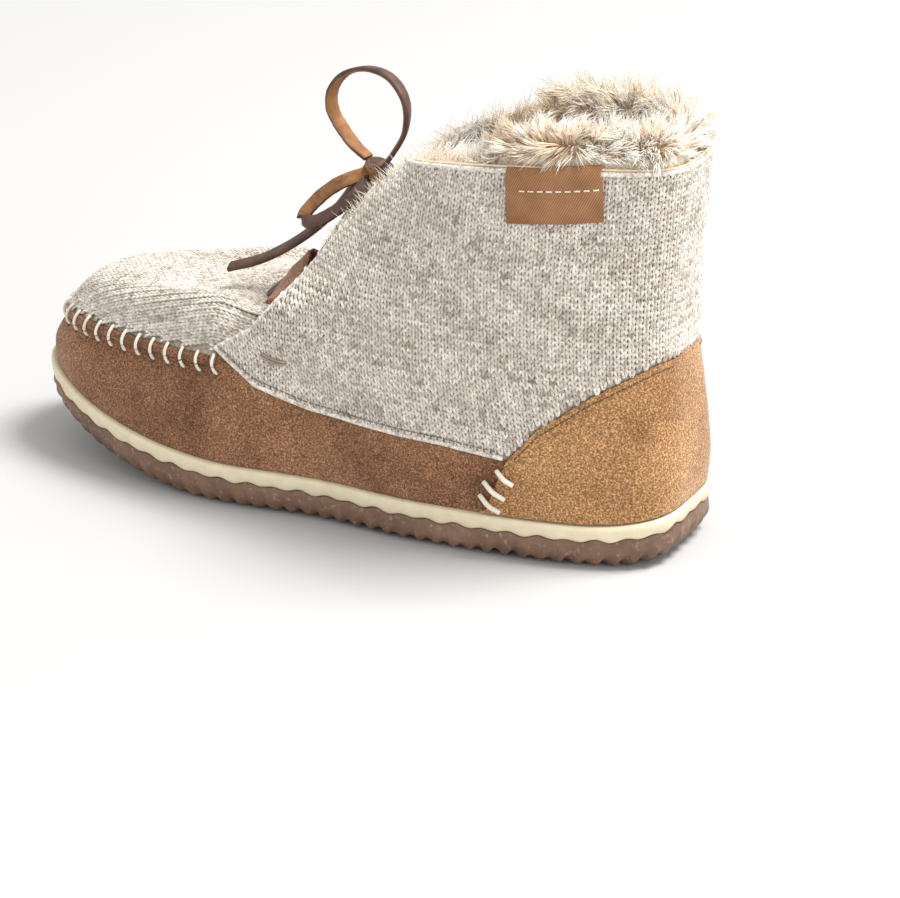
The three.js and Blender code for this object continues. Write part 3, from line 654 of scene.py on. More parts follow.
# %% [markdown]
# The suede shell goes all the way up inside the knit, as it does on the solid, and sinks a
# little where knit lies over it. Its edge at the toe is gathered by the moccasin seam, so a
# row of small puckers runs along under the seam and fades out a centimetre below it.

# %% Suede shell
SEAM_PITCH = 7.4
PUCKER, PUCKER_FADE = 0.55, 0.05
SINK = 1.4
FOLD = 0.55  # share of the rows that lie below the knit's lower edge

seam_run = arc(skin(A_NET, SEAM))
plug_top = t_where(lambda x, z, t: (x < PLUG_REAR) & (t > PLUG_EDGE))
TIP_T = (np.interp(S_OUT, S_GRID, hem_t) + np.interp(S_IN, S_GRID, hem_t)) / 2


def covered(angle, t):
    return smoothstep(SEAM + 0.002, SEAM + 0.014, t) * (x_at(angle, t) > PLUG_REAR - 0.5)


def toe_puckers(angle, t):
    run = np.interp(np.mod(angle, 2 * np.pi), A_NET, seam_run)
    fade = np.exp(-((SEAM - t) / PUCKER_FADE) ** 2) * smoothstep(30, 48, x_at(angle, t))
    return PUCKER * np.cos(2 * np.pi * run / SEAM_PITCH) * fade


def shell_place(u, v):
    """Below the knit's hem by direction, above it up the knit's own columns."""
    angle = 2 * np.pi * u
    inside = (S_GRID >= S_OUT) & (S_GRID <= S_IN)
    hem_inside = hem_angle[inside]
    at_ankle = (angle > hem_inside[0]) & (angle < hem_inside[-1])
    top = np.interp(angle, A_NET, plug_top)
    edge = np.where(at_ankle, np.interp(angle, hem_inside, hem_t[inside]),
                    np.minimum(top, TIP_T))
    over = np.clip((v - FOLD) / (1 - FOLD), 0, 1)
    t = np.where(v < FOLD, edge * v / FOLD, edge + (np.maximum(top, edge) - edge) * over)
    sunk = -SINK * covered(angle, t) * (t > SEAM) * ~at_ankle
    by_angle = skin(angle, t, sunk + toe_puckers(angle, t) * (t < SEAM + 0.004))
    s = np.interp(angle, hem_inside, S_GRID[inside])
    low = low_at(s)
    z = low + (np.maximum(high_at(s) - 1.0, low) - low) * over
    by_section = skin(*level(s, z), -SINK * smoothstep(0.2, 2.0, z - low))
    return np.where((at_ankle & (v > FOLD))[:, None], by_section, by_angle)


shell = fitted_sheet("suede_shell", 380, 56, shell_place, [suede, fleece], "upper",
                     closed=True, wall=1.9)
print("suede shell", len(shell.data.polygons))

# %% [markdown]
# The heel counter is a second layer of suede. Its front edge stands nearly upright and its
# top edge climbs in a curve to the back of the heel.

# %% Heel counter
COUNTER_X = np.array([-148.0, -124.1, -105.9, -87.9, -76.8, -70.0, -67.0])
COUNTER_Z = BASE + RISE * np.array([.484, .450, .371, .268, .170, .041, -0.02])
COUNTER_FOOT = 0.006
outer_angles = A_NET[A_NET <= np.pi]
counter_start = np.interp(-COUNTER_X[-1], -skin(outer_angles, 0.05)[:, 0], outer_angles)
counter_top_t = t_where(lambda x, z, t: z > np.interp(x, COUNTER_X, COUNTER_Z) - 0.4)


def counter_place(u, v):
    angle = counter_start + (2 * np.pi - 2 * counter_start) * u
    top = np.maximum(np.interp(angle, A_NET, counter_top_t), 2 * COUNTER_FOOT)
    return skin(angle, COUNTER_FOOT + (top - COUNTER_FOOT) * v, 1.25)


# The counter wears the lighter copy of the suede, which is painted light.
fitted_sheet("heel_counter_suede", 220, 40, counter_place, [lit_counter_suede],
             "heel_counter", wall=1.2, rounded=0.35)

# %% [markdown]
# Under the stitches lies a thin backing, so that no suede shows between the loops. Its dark
# colour is painted shade: it stands for the shade down between the stitches. The knit isn't quite
# smooth: it dips where a thread tacks it to the tab inside, and it bulges and sinks a little over
# the ankle. Those soft dents are given in a short list.

# %% Knit backings
DENTS = [  # x, z, reach along, reach up, height
    (16, 58, 10, 4, -1.6), (6, 53, 14, 4, -0.9), (24, 68, 9, 5, 0.7), (-20, 92, 22, 12, 0.7),
    (-62, 78, 26, 9, -1.0), (-92, 100, 20, 16, 0.8), (-40, 58, 22, 9, 0.8),
    (-100, 118, 22, 5, -0.9), (-8, 76, 16, 7, -0.7),
]


def dents(points):
    x, z = points[..., 0], points[..., 2]
    total = np.zeros_like(x)
    for at_x, at_z, wide, tall, height in DENTS:
        total += height * np.exp(-((x - at_x) / wide) ** 2 - ((z - at_z) / tall) ** 2)
    return total


def on_section(s, z, height):
    """Places on the knit's own skin, which has the dents in it."""
    angle, t = level(s, z)
    return skin(angle, t, height + dents(look_up(net, angle, t)))


def quarter_place(u, v):
    s = S_OUT + (S_IN - S_OUT) * u
    return on_section(s, low_at(s) + (high_at(s) - low_at(s)) * v, 0.45)


fitted_sheet("quarter_backing", 320, 40, quarter_place, [shaded_backing, fleece], "quarter",
             wall=1.7)

toe_angles = A_NET[(skin(A_NET, PLUG_EDGE)[:, 0] > PLUG_REAR)]
toe_half = min(toe_angles[toe_angles < np.pi][-1],
               2 * np.pi - toe_angles[toe_angles > np.pi][0])


def plug_height(t):
    """The toe's knit is plump along the seam."""
    return 0.5 + 1.3 * (1 - smoothstep(PLUG_EDGE, SEAM + 0.05, t))


def plug_place(u, v):
    angle = toe_half * (2 * u - 1)
    top = np.maximum(np.interp(np.mod(angle, 2 * np.pi), A_NET, plug_top), PLUG_EDGE)
    t = PLUG_EDGE + (top - PLUG_EDGE) * v
    return skin(angle, t, plug_height(t) - 0.7)


fitted_sheet("toe_knit_backing", 180, 60, plug_place, [shaded_backing], "vamp_plug", wall=1.0)

# %% [markdown]
# The tongue and the toe are knitted lengthways. To find their surface from above, a fine net
# of the last at the right depth goes into a search tree, and rays are dropped onto it. A thin
# gusset slopes from the toe's rear edge down to the tongue and fills in both of its sides.

# %% Surfaces found from above
HIGH_ABOVE = 400
SHALLOW, DEEP = 3.5, 6.2  # depth of the tongue's face, at the rear and at the front
TONGUE_REAR, TONGUE_FRONT = -36.0, 48.0
GUSSET_REAR, GUSSET_FRONT = -14.0, 44.5


def drop_tree(height, t_start):
    """A search tree of the last's surface at a height that depends on angle and t."""
    angles, ts = np.meshgrid(np.linspace(0, 2 * np.pi, 361), np.linspace(t_start, 1, 120))
    points = skin(angles, ts, height(angles, ts))
    index = np.arange(angles.size).reshape(angles.shape)
    faces = np.stack([index[:-1, :-1], index[:-1, 1:], index[1:, 1:], index[1:, :-1]], axis=-1)
    return BVHTree.FromPolygons(points.reshape(-1, 3).tolist(), faces.reshape(-1, 4).tolist())


def drop(tree, x, y, near=None):
    """Place and normal below (x, y). Where nothing lies below, what is nearest to height near."""
    hit, normal, _, _ = tree.ray_cast(Vector((x, y, HIGH_ABOVE)), Vector((0, 0, -1)))
    if hit is None and near is not None:
        hit, normal, _, _ = tree.find_nearest(Vector((x, y, near)))
    return (None, None) if hit is None else (np.array(hit), np.array(normal))


def laid_on(tree, rear, front, sides_at, near):
    """How a sheet lies on a tree, from rear to front, between its two sides."""
    def place(u, v):
        spots = []
        for a, b in zip(u, v):
            x = rear + (front - rear) * b
            outer, inner = sides_at(x)
            spots.append(drop(tree, x, outer + (inner - outer) * a, near)[0])
        return np.array(spots)

    return place


def flat(angle, t):
    return np.zeros_like(angle)


def tongue_depth(angle, t):
    forward = 1 - smoothstep(0.145 * LENGTH, 0.225 * LENGTH, x_at(angle, t))
    return -SHALLOW - (DEEP - SHALLOW) * forward - 0.8


def vamp_height(angle, t):
    """From the plump toe down to the tongue in one slope."""
    toe = smoothstep(21, 46, x_at(angle, t))
    return plug_height(t) * toe + tongue_depth(angle, t) * (1 - toe)


def tongue_sides(x):
    half = np.interp(x, [-36, -10, 20, 48], [19, 22, 24, 16])
    return half, -half


def gusset_sides(x):
    outer, inner = [np.interp(x, *front_edges[side]) for _, side in SIDES]
    return outer - 0.5, inner + 0.5


front_edges = {}
for _, side in SIDES:
    s_here = S_GRID[spans & (S_GRID * side < 0)]
    edge_points = skin(*level(s_here, high_at(s_here)))
    order = np.argsort(edge_points[:, 0])
    front_edges[side] = edge_points[order, 0], edge_points[order, 1]

ground_tree = drop_tree(flat, 0.3)
tongue_place = laid_on(drop_tree(tongue_depth, 0.4), TONGUE_REAR, TONGUE_FRONT, tongue_sides,
                       126)
fitted_sheet("tongue_backing", 40, 60, tongue_place, [shaded_backing, fleece], "tongue",
             wall=1.2)
gusset_tree = drop_tree(lambda angle, t: vamp_height(angle, t) - 0.9, PLUG_EDGE)
gusset_place = laid_on(gusset_tree, GUSSET_REAR, GUSSET_FRONT, gusset_sides, 56)
fitted_sheet("knit_gusset", 50, 50, gusset_place, [shaded_backing, fleece], wall=0.8)

# %% [markdown]
# A knitted stitch shows as a V of two plump legs. One V is made from two balls that are
# stretched, leaned apart and set side by side. It is then stamped along the columns of the
# knit, thousands of times, each stamp turned to the surface and given its own shade. The
# columns stand 2.5 mm apart and the stitches follow each other every 2.1 mm.

# %% One stitch
WALE, COURSE = 2.5, 2.1
LEG, LEG_APART = (0.66, 0.66, 2.15), 0.57
LEAN_OUT, LEAN_BACK = math.radians(15), math.radians(-9)


def template(bm):
    points = np.array([v.co for v in bm.verts])
    faces = [[v.index for v in f.verts] for f in bm.faces]
    bm.free()
    return points, faces


def stitch_template():
    bm = bmesh.new()
    for side in (1, -1):
        leg = bmesh.ops.create_uvsphere(bm, u_segments=5, v_segments=3, radius=1)["verts"]
        bmesh.ops.scale(bm, verts=leg, vec=LEG)
        for lean, axis in ((side * LEAN_OUT, "Y"), (LEAN_BACK, "X")):
            bmesh.ops.rotate(bm, verts=leg, cent=(0, 0, 0), matrix=Matrix.Rotation(lean, 3, axis))
        bmesh.ops.translate(bm, verts=leg, vec=(side * LEG_APART, 0, 0))
    return template(bm)


def mesh_from_copies(name, world, faces, values, attribute_name, material):
    """One mesh of many copies of a template, each with its values on its points."""
    count, size = world.shape[:2]
    lengths = np.array([len(f) for f in faces])
    corners = np.concatenate([np.array(f) for f in faces])
    starts = np.concatenate([[0], np.cumsum(lengths)[:-1]])
    copy = np.arange(count)[:, None]
    mesh = bpy.data.meshes.new(name)
    mesh.vertices.add(count * size)
    mesh.vertices.foreach_set("co", (world * MM).reshape(-1))
    mesh.loops.add(count * len(corners))
    mesh.loops.foreach_set("vertex_index", (corners[None] + copy * size).reshape(-1))
    mesh.polygons.add(count * len(faces))
    mesh.polygons.foreach_set("loop_start", (starts[None] + copy * len(corners)).reshape(-1))
    mesh.update(calc_edges=True)
    mesh.shade_smooth()
    written = mesh.attributes.new(attribute_name, "FLOAT", "POINT")
    written.data.foreach_set("value", np.broadcast_to(values, (count, size)).reshape(-1))
    mesh.materials.append(material)
    mesh.validate()
    piece = bpy.data.objects.new(name, mesh)
    bpy.context.scene.collection.objects.link(piece)
    print(name, count, "copies,", len(mesh.polygons), "faces")
    return dress(piece)


stitch_points, stitch_faces = stitch_template()
print("one stitch", len(stitch_points), "points", len(stitch_faces), "faces")


def stitches(name, chosen, places, sides, outs, ups, shades):
    """Stitches at the chosen places, with their x, y and z along side, out and up."""
    place, side, out, up = (part[chosen][:, None] for part in (places, sides, outs, ups))
    x, y, z = (stitch_points[None, :, k:k + 1] for k in range(3))
    world = place + x * side + y * out + z * up
    mesh_from_copies(name, world, stitch_faces, shades[chosen][:, None], "shade", yarn)


def yarn_shades(row, column):
    """Shades along a row run on from stitch to stitch, as one yarn does, with some scatter."""
    phase = row * 12.9898
    slow = np.sin(column * 0.31 + phase) * 0.05 + np.sin(column * 0.117 + phase * 1.7) * 0.05
    return np.clip(0.60 + slow + rng.normal(0, 0.12, np.shape(column)), 0, 1)


# %% [markdown]
# On the quarter the columns stand upright. At each height, a level section of the last is
# measured from the middle of the heel to both sides, and the stitches are put at even steps
# along it, so the columns line up from row to row all round the boot.

# %% Stitches of the quarter
WALES = np.arange(-92, 93)
STITCH_HEIGHT = 0.95
rows = []
s = WALES * WALE
for row, z in enumerate(np.arange(40.0, 150.0, COURSE)):
    keep = (z > low_at(s) + 1.0) & (z < high_at(s) - 0.9)
    place = on_section(s, z, STITCH_HEIGHT)
    up = unit(on_section(s, z + 0.6, STITCH_HEIGHT) - place)
    out = unit(look_up(net_out, *level(s, z)))
    shades = yarn_shades(row, WALES)
    rows.append([part[keep] for part in (place, unit(np.cross(up, out)), out, up, shades)])
places, sides, outs, ups, shades = [np.concatenate(part) for part in zip(*rows)]
across = np.cross(sides, ups)
outs = unit(across) * np.sign(np.sum(across * outs, axis=1, keepdims=True))
for word, half_of in (("outer", places[:, 1] >= 0), ("inner", places[:, 1] < 0)):
    stitches("quarter_knit_" + word, half_of, places, sides, outs, ups, shades)

# %% [markdown]
# On the toe and the tongue the columns run lengthways. The knit's height is found on a net of
# places seen from above. On every cross line of that net the way over the top is measured from
# its middle, and the columns are put at even steps of it. Along each column the stitches then
# follow at even steps too, so steep parts get as many stitches as flat ones.

# %% Stitches of the toe and tongue
knit_tree = drop_tree(lambda angle, t: vamp_height(angle, t) + 0.3, PLUG_EDGE)
X_LINES, Y_LINES = np.arange(TONGUE_REAR + 1, 129.0), np.arange(-48.0, 48.5)
ACROSS = np.arange(-20, 21)
MIDDLE = len(ACROSS) // 2
FEWEST = 4
TOE_MIDDLE = np.array([40, 0])


def across_line(x):
    """Places of all the columns on the cross line at x, not a number where the knit ends."""
    hits = [drop(knit_tree, x, y)[0] for y in Y_LINES]
    points = np.array([hit for hit in hits if hit is not None])
    if len(points) < FEWEST:
        return np.full((len(ACROSS), 3), np.nan)
    run = arc(points)
    at = ACROSS * WALE + np.interp(-swing_in(x), points[:, 1], run)
    return places_at(at, run, points, left=np.nan, right=np.nan)


cross_lines = np.array([across_line(x) for x in X_LINES])
found = []
for column in range(len(ACROSS)):
    flip = 1 if column < MIDDLE else -1
    points = cross_lines[:, column]
    way = (cross_lines[:, column + flip] - points) * flip
    good = ~np.isnan(way[:, 0])
    if good.sum() < FEWEST:
        continue
    points = points[good]
    run = arc(points)
    steps = np.arange(0, run[-1], COURSE)
    place = places_at(steps, run, points)
    along = unit(np.gradient(place, axis=0))
    out = unit(np.cross(along, places_at(steps, run, way[good])))
    shades = yarn_shades(column * 3.1, np.arange(len(steps)))
    found.append((place, unit(np.cross(along, out)), out, along, shades))
knit_parts = [np.concatenate(part) for part in zip(*found)]


def on_plug(place):
    """Whether places lie inside the toe's seam, seen from above."""
    outline = skin(A_NET, SEAM + 0.004)[:, :2] - TOE_MIDDLE
    seen = place[:, :2] - TOE_MIDDLE
    rim_angle = np.arctan2(outline[:, 1], outline[:, 0])
    order = np.argsort(rim_angle)
    reach = np.hypot(outline[:, 0], outline[:, 1])
    limit = np.interp(np.arctan2(seen[:, 1], seen[:, 0]), rim_angle[order], reach[order])
    return (np.hypot(seen[:, 0], seen[:, 1]) < limit - 0.2) & (place[:, 0] > PLUG_REAR + 0.5)


def between_edges(place):
    """Whether places lie between the quarter's front edges."""
    outer, inner = [np.interp(place[:, 0], *front_edges[side]) for _, side in SIDES]
    half = np.interp(place[:, 0], [-36, -14, 0], [18, 21, 60])
    return (place[:, 1] < np.minimum(outer, half)) & (place[:, 1] > np.maximum(inner, -half))


spots = knit_parts[0]
stitches("toe_knit", on_plug(spots), *knit_parts)
stitches("tongue_knit", between_edges(spots) & (spots[:, 0] <= PLUG_REAR + 0.5), *knit_parts)

# %% [markdown]
# The pile cuff is a soft roll inside the collar. Its body follows the same section as the
# solid's, swept round the collar, and is lumpy.

# %% Body of the cuff
CUFF_ROWS = np.array([  # t, share of the depth, share of the rise
    (0.74, 0, 0), (0.83, 0, 0), (0.92, 0, 0), (1, 0, 0), (1, .16, .75), (1, .52, 1),
    (1, .95, .5), (0.92, 1.1, 0), (0.74, 0.9, 0), (0.74, 0, 0),
])
PILE_DEPTH, PILE_RISE = 11.0, 8.0
WALL_FACE, BEHIND_TONGUE = 3.5, 9.4


def cuff_surface(angle, w):
    """Places on the roll, w rows of the table along its section."""
    rows = np.clip(w, 0, len(CUFF_ROWS) - 1)
    numbers = np.arange(len(CUFF_ROWS))
    t, share, rise = [np.interp(rows, numbers, CUFF_ROWS[:, k]) for k in range(3)]
    back = smoothstep(np.pi * 0.37, np.pi * 0.47, np.arccos(np.cos(angle)))
    base = BEHIND_TONGUE + (WALL_FACE - BEHIND_TONGUE) * back
    t = np.where(t > 0.97, t - 0.06 * (1 - back), t)
    place = skin(angle, t, -base - share * PILE_DEPTH * (0.5 + 0.5 * back))
    place[..., 2] += PILE_RISE * rise * back
    return place


def cuff_place(u, v):
    angle = 2 * np.pi * u
    place = cuff_surface(angle, v * (len(CUFF_ROWS) - 1))
    lumps = 0.7 * np.sin(angle * 17 + v * 9) * np.sin(v * 23 + angle * 5)
    place[..., 2] += lumps * smoothstep(0.3, 0.5, v)
    return place


fitted_sheet("pile_body", 240, 54, cuff_place, [fleece], "fur_lining", closed=True)

# %% [markdown]
# Over the roll stand thousands of tapered hairs in tufts: neighbours lean to the same tip,
# which is what makes pile look combed and deep. One hair is a thin three-sided cone. More of
# them stand up inside the collar's front corners and peep out along the quarter's front edges
# near the knot, as they do where a lined flap folds open.

# %% Hairs
HAIR_RINGS = 4
TUFT_LEAN = 0.42
NUDGE = 0.02


def hair_template():
    bm = bmesh.new()
    bmesh.ops.create_cone(bm, segments=3, radius1=1, radius2=1, depth=1, cap_ends=False)
    bmesh.ops.translate(bm, verts=bm.verts, vec=(0, 0, 0.5))
    upright = [e for e in bm.edges if abs(e.verts[0].co.z - e.verts[1].co.z) > 0.5]
    bmesh.ops.subdivide_edges(bm, edges=upright, cuts=HAIR_RINGS - 2, use_grid_fill=False)
    return template(bm)


hair_points, hair_faces = hair_template()


def scatter(spread, count):
    return rng.normal(0, spread, (count, 3))


def hairs(name, roots, ways, bends, lengths, width):
    """Tapered hairs that start along ways and bend over by bends."""
    x, y, s = (hair_points[None, :, k:k + 1] for k in range(3))
    side = unit(np.cross(ways, np.array([0.31, 0.77, 0.55])))
    other = np.cross(ways, side)
    taper = width * (1 - 0.93 * s ** 1.4)
    lengths = lengths[:, None, None]
    world = (roots[:, None] + ways[:, None] * s * lengths + bends[:, None] * (s * s) * lengths
             + side[:, None] * x * taper + other[:, None] * y * taper)
    mesh_from_copies(name, world, hair_faces, hair_points[None, :, 2], "along", pile)


def tuft_lean(angle, w, cells_round, cells_up):
    """A lean towards the middle of the tuft that a place belongs to, and the tuft's number."""
    a = angle / (2 * np.pi) * cells_round
    b = w * cells_up
    ai, bi = np.floor(a), np.floor(b)
    mid_a = ai + 0.5 + 0.35 * np.sin(ai * 12.7 + bi * 78.2)
    mid_b = bi + 0.5 + 0.35 * np.sin(ai * 39.3 + bi * 11.1)
    return (mid_a - a)[:, None], (mid_b - b)[:, None], np.sin(ai * 91.7 + bi * 47.1)


def cuff_hairs(name, count, w_low, w_high, length, cells):
    angle = rng.uniform(0, 2 * np.pi, count)
    w = rng.uniform(w_low, w_high, count)
    turned = np.arccos(np.cos(angle))
    keep = turned > np.pi * 0.34
    angle, w, turned = angle[keep], w[keep], turned[keep]
    root = cuff_surface(angle, w)
    round_way = unit(cuff_surface(angle + NUDGE, w) - root)
    over_way = unit(cuff_surface(angle, w + 0.15) - cuff_surface(angle, w - 0.15))
    out = unit(np.cross(round_way, over_way))
    lean_a, lean_b, tuft = tuft_lean(angle, w, *cells)
    way = unit(out + TUFT_LEAN * lean_a * round_way + TUFT_LEAN * lean_b * over_way
               + scatter(0.10, len(w)))
    combed_round = np.sin(angle * 7 + w * 1.3 + 0.8 * np.sin(angle * 13)) + 0.3 * tuft
    combed_over = np.cos(angle * 9 - w * 2.1) + 0.3 * tuft
    bend = (0.26 * over_way * combed_over[:, None] + 0.34 * round_way * combed_round[:, None]
            + np.array([0, 0, -0.15]) + scatter(0.08, len(w)))
    long = (length * (0.8 + 0.25 * tuft + rng.uniform(-0.12, 0.2, len(w)))
            * (0.8 + 0.2 * smoothstep(np.pi * .36, np.pi * .5, turned)))
    hairs(name, root - out * 0.6, way, bend, long, 0.38)


def collar_fringe(name, count):
    """Hairs that stand up inside the collar's front corners, where the cuff itself is low."""
    corner = A_NET[net[-1, :, 0] < THROAT_REAR][0]
    turned = rng.uniform(corner + 0.01, 0.52 * np.pi, count)
    angle = np.where(rng.random(count) < 0.5, turned, 2 * np.pi - turned)
    t = rng.uniform(0.93, 0.995, count)
    root = skin(angle, t, -2.2 - rng.uniform(0, 3.5, count))
    inward = -look_up(net_out, angle, t)
    lean, _, tuft = tuft_lean(angle, t, 60, 1)
    round_way = unit(skin(angle + NUDGE, t) - skin(angle, t))
    way = unit(np.array([0, 0, 1.0]) + 0.35 * inward + 0.6 * lean * round_way
               + scatter(0.18, count))
    bend = 0.25 * inward + 0.4 * round_way * np.sin(tuft * 7)[:, None] + scatter(0.14, count)
    long = 13.0 * (0.85 + 0.3 * tuft * rng.uniform(0.5, 1, count))
    hairs(name, root, way, bend, long, 0.32)


def edge_hairs(name, count):
    """Short hairs that come out from under the quarter's front edges."""
    x = rng.uniform(-30, 2, count)
    side = np.where(rng.random(count) < 0.5, 1, -1)
    z = throat_z(x) + rng.uniform(-1.5, 0.5, count)
    angles = np.linspace(0.05 * np.pi, 0.8 * np.pi, 160)
    rings = {}
    for flip in (1, -1):
        ring = angles if flip > 0 else 2 * np.pi - angles
        rings[flip] = ring, (ring / (2 * np.pi) * (len(A_NET) - 1)).astype(int)
    roots, outs = [], []
    for a, b, flip in zip(x, z, side):
        ring, numbers = rings[flip]
        ts = np.array([np.interp(b, net[:, k, 2], T_NET) for k in numbers])
        points = look_up(net, ring, ts)
        nearest = np.argmin(np.abs(points[:, 0] - a) + 1000 * (np.abs(points[:, 2] - b) > 1))
        roots.append(skin(ring[nearest], ts[nearest], -2.2))
        outs.append(look_up(net_out, ring[nearest], ts[nearest]))
    ways = unit(np.array([0.75, 0, 0.45]) + 0.25 * np.array(outs)
                - np.array([0, 0.45, 0]) * side[:, None] + scatter(0.22, count))
    bends = scatter(0.25, count)
    hairs(name, np.array(roots), ways, bends, rng.uniform(3.5, 7.5, count), 0.26)


cuff_hairs("pile_crest_outer", 7000, 3.5, 5.0, 10.5, (60, 2.2))
cuff_hairs("pile_crest_inner", 7000, 5.0, 6.6, 11.0, (54, 2.0))
cuff_hairs("pile_inside", 2200, 6.6, 8.0, 10.0, (48, 1.6))
collar_fringe("pile_fringe", 3400)
edge_hairs("pile_at_front_edges", 900)

# %% [markdown]
# Threads, rolled edges and leather laces are all lengths of something thin. One helper lays a
# grid along a path and rolls it up: its u runs round the section and its v along the path.
# The two ends are then filled, so each length is a closed body.

# %% Lengths of thread and lace
ROUND = np.array([(math.cos(k * math.pi / 4), math.sin(k * math.pi / 4)) for k in range(8)])
FLAT = np.array([(-1, -.55), (-.86, -1), (-.3, -1.08), (.3, -1.08), (.86, -1), (1, -.55),
                 (1, .55), (.86, 1), (.3, 1.08), (-.3, 1.08), (-.86, 1), (-1, .55)])
UPRIGHT = (0, 0, 1.0)
ASLANT = (0.13, 0.2, 0.97)  # no thread's own way, so it can set the way its width lies


def smooth_path(points, count):
    points = np.asarray(points, float)
    padded = np.vstack([2 * points[0] - points[1], points, 2 * points[-1] - points[-2]])
    at = np.linspace(0, len(points) - 1, count)
    i = np.minimum(at.astype(int), len(points) - 2)
    u = (at - i)[:, None]
    a, b, c, d = (padded[i + k] for k in range(4))
    return 0.5 * (2 * b + (c - a) * u + (2 * a - 5 * b + 4 * c - d) * u ** 2
                  + (3 * b - a - 3 * c + d) * u ** 3)


def lengths_of(name, runs, section, half_wide, half_thick, materials, node=None,
               flesh_side=0, wobble=0.0):
    """runs is a list of (path, the way the width lies at each point)."""
    bm = bmesh.new()
    paths, flesh_ways = [], []
    for path, wide in runs:
        ahead = unit(np.gradient(path, axis=0))
        wide = np.broadcast_to(np.asarray(wide, float), path.shape)
        paths.append(path * MM)
        flesh_ways.append(np.cross(ahead, unit(wide)))
        wide = unit(wide - ahead * np.sum(wide * ahead, axis=1, keepdims=True))
        thick = np.cross(ahead, wide)
        across, up = len(section), len(path) - 1
        grid = bmesh.ops.create_grid(bm, x_segments=across, y_segments=up, size=1)["verts"]
        k, j = grid_steps(grid, across, up)
        k %= across
        swell = 1 + wobble * np.sin(j * 1.7) * np.sin(j * 0.61 + 2)
        move(grid, path[j] + wide[j] * (section[k, 0] * half_wide * swell)[:, None]
             + thick[j] * (section[k, 1] * half_thick)[:, None])
        bmesh.ops.remove_doubles(bm, verts=grid, dist=WELD)
    ends = [e for e in bm.edges if e.is_boundary]
    bmesh.ops.holes_fill(bm, edges=ends, sides=len(section))
    bmesh.ops.recalc_face_normals(bm, faces=bm.faces)
    if flesh_side:
        paths, flesh_ways = np.vstack(paths), np.vstack(flesh_ways)
        for face in bm.faces:
            away = paths - np.array(face.calc_center_median())
            nearest = np.argmin(np.sum(away ** 2, axis=1))
            facing = np.dot(flesh_ways[nearest], np.array(face.normal)) * flesh_side
            face.material_index = int(facing > 0.5)
    return dress(link(name, bm, *materials), node)


# %% [markdown]
# The lace is a flat leather thong, 5 mm wide and nearly 2 mm thick, smooth dark brown on the
# grain side and rough tan on the flesh side. Its free lengths follow the solids' own points,
# counted from the middle of the knot.

# %% Bow
LACE_HALF_WIDE, LACE_HALF_THICK = 2.5, 0.9
KNOT = np.array([-0.0246 * LENGTH, -1, BASE + 0.817 * RISE])
KNOT_CORE = Vector((4.0, 3.4, 3.0))
thong = [grain_leather, flesh_leather]
BOW = {  # points from the knot, the way the width lies, the side with the flesh, the far end
    "lace_loop_up": (
        [(4.5, -1, 3.8), (10.5, -2, 7.4), (16.5, -3, 13.4), (20.5, -4, 19.4),
         (20.5, -5, 26.4), (14.5, -4, 33.4), (3.5, -1, 37.4), (-7.5, 3, 36.4),
         (-14.5, 6, 29.4), (-13.5, 5, 18.4), (-7.5, 3, 8.4), (-3.5, 2, 3.4)],
        [(.4, .9, .2), (.6, .8, 0), (.4, .9, 0), (0, 1, .2), (0, 1, .1), (-.3, 1, 0),
         (-.2, 1, .1)], 1, "object"),
    "lace_loop_front": (
        [(2.2, 3.0, -0.4), (6.5, 6.2, -1.6), (12.5, 8.5, -4.6), (19.5, 10, -10.6),
         (24.5, 12, -17.6), (18.5, 15, -17.6), (10.5, 15, -12.6), (4.0, 11, -6.6),
         (1.5, 5, -2.6)],
        [(.2, -.6, .8), (.5, -.5, .8), (.6, -.4, .8), (.6, -.5, .6), (.4, -.6, .6),
         (.2, -.6, .8)], -1, "object"),
    "lace_end_outer": (
        [(2.5, 2, -1.6), (7, 4, -4.6), (14.5, 8, -15.6), (26.5, 11, -26.6),
         (40.5, 13, -35.6), (54.5, 14, -41.1)],
        [(.3, -.8, .4), (.3, -.9, .4), (.3, -.9, .3), (.3, -.9, .2)], 1, "bare"),
    "lace_end_inner": (
        [(.3, -2.2, -.4), (.5, -6, -1.1), (4.5, -14, -4.6), (10.5, -24, -11.6),
         (15.5, -33, -21.6), (19.5, -39, -33.6), (21.5, -43, -47.6)],
        [(1, .2, .2), (1, .3, .1), (1, .3, 0), (1, .2, 0)], -1, "bare"),
}

k = np.linspace(0, 2 * np.pi, 29)
knot_turns = [
    (np.stack([4.6 * np.cos(k), 1.4 * np.sin(k), 3.3 * np.sin(k)], axis=1), (0.1, 1.0, -0.35)),
    (np.stack([3.0 * np.cos(k), 4.3 * np.sin(k), 1.6 * np.cos(k)], axis=1), (0.3, 0.1, 1.0)),
]
knot = lengths_of("lace_knot_wrap", [(KNOT + path, wide) for path, wide in knot_turns], FLAT,
                  2.6, 0.95, thong, "lace_knot", flesh_side=1)
bm = bmesh.new()
core = bmesh.ops.create_icosphere(bm, subdivisions=3, radius=1)["verts"]
bmesh.ops.scale(bm, verts=core, vec=KNOT_CORE * MM)
bmesh.ops.translate(bm, verts=core, vec=KNOT * MM)
knot_core = dress(link("lace_knot_core", bm, grain_leather))
for name, (points, wide, flesh, far_end) in BOW.items():
    count = len(points) * 6
    path = smooth_path(np.array(points) + KNOT, count)
    lace = lengths_of(name + "_thong", [(path, smooth_path(wide, count))], FLAT,
                      LACE_HALF_WIDE, LACE_HALF_THICK, thong, name,
                      flesh_side=flesh, wobble=0.04)
    run = float(arc(path)[-1]) * MM
    print(name, "length", round(run * 1000), "mm")

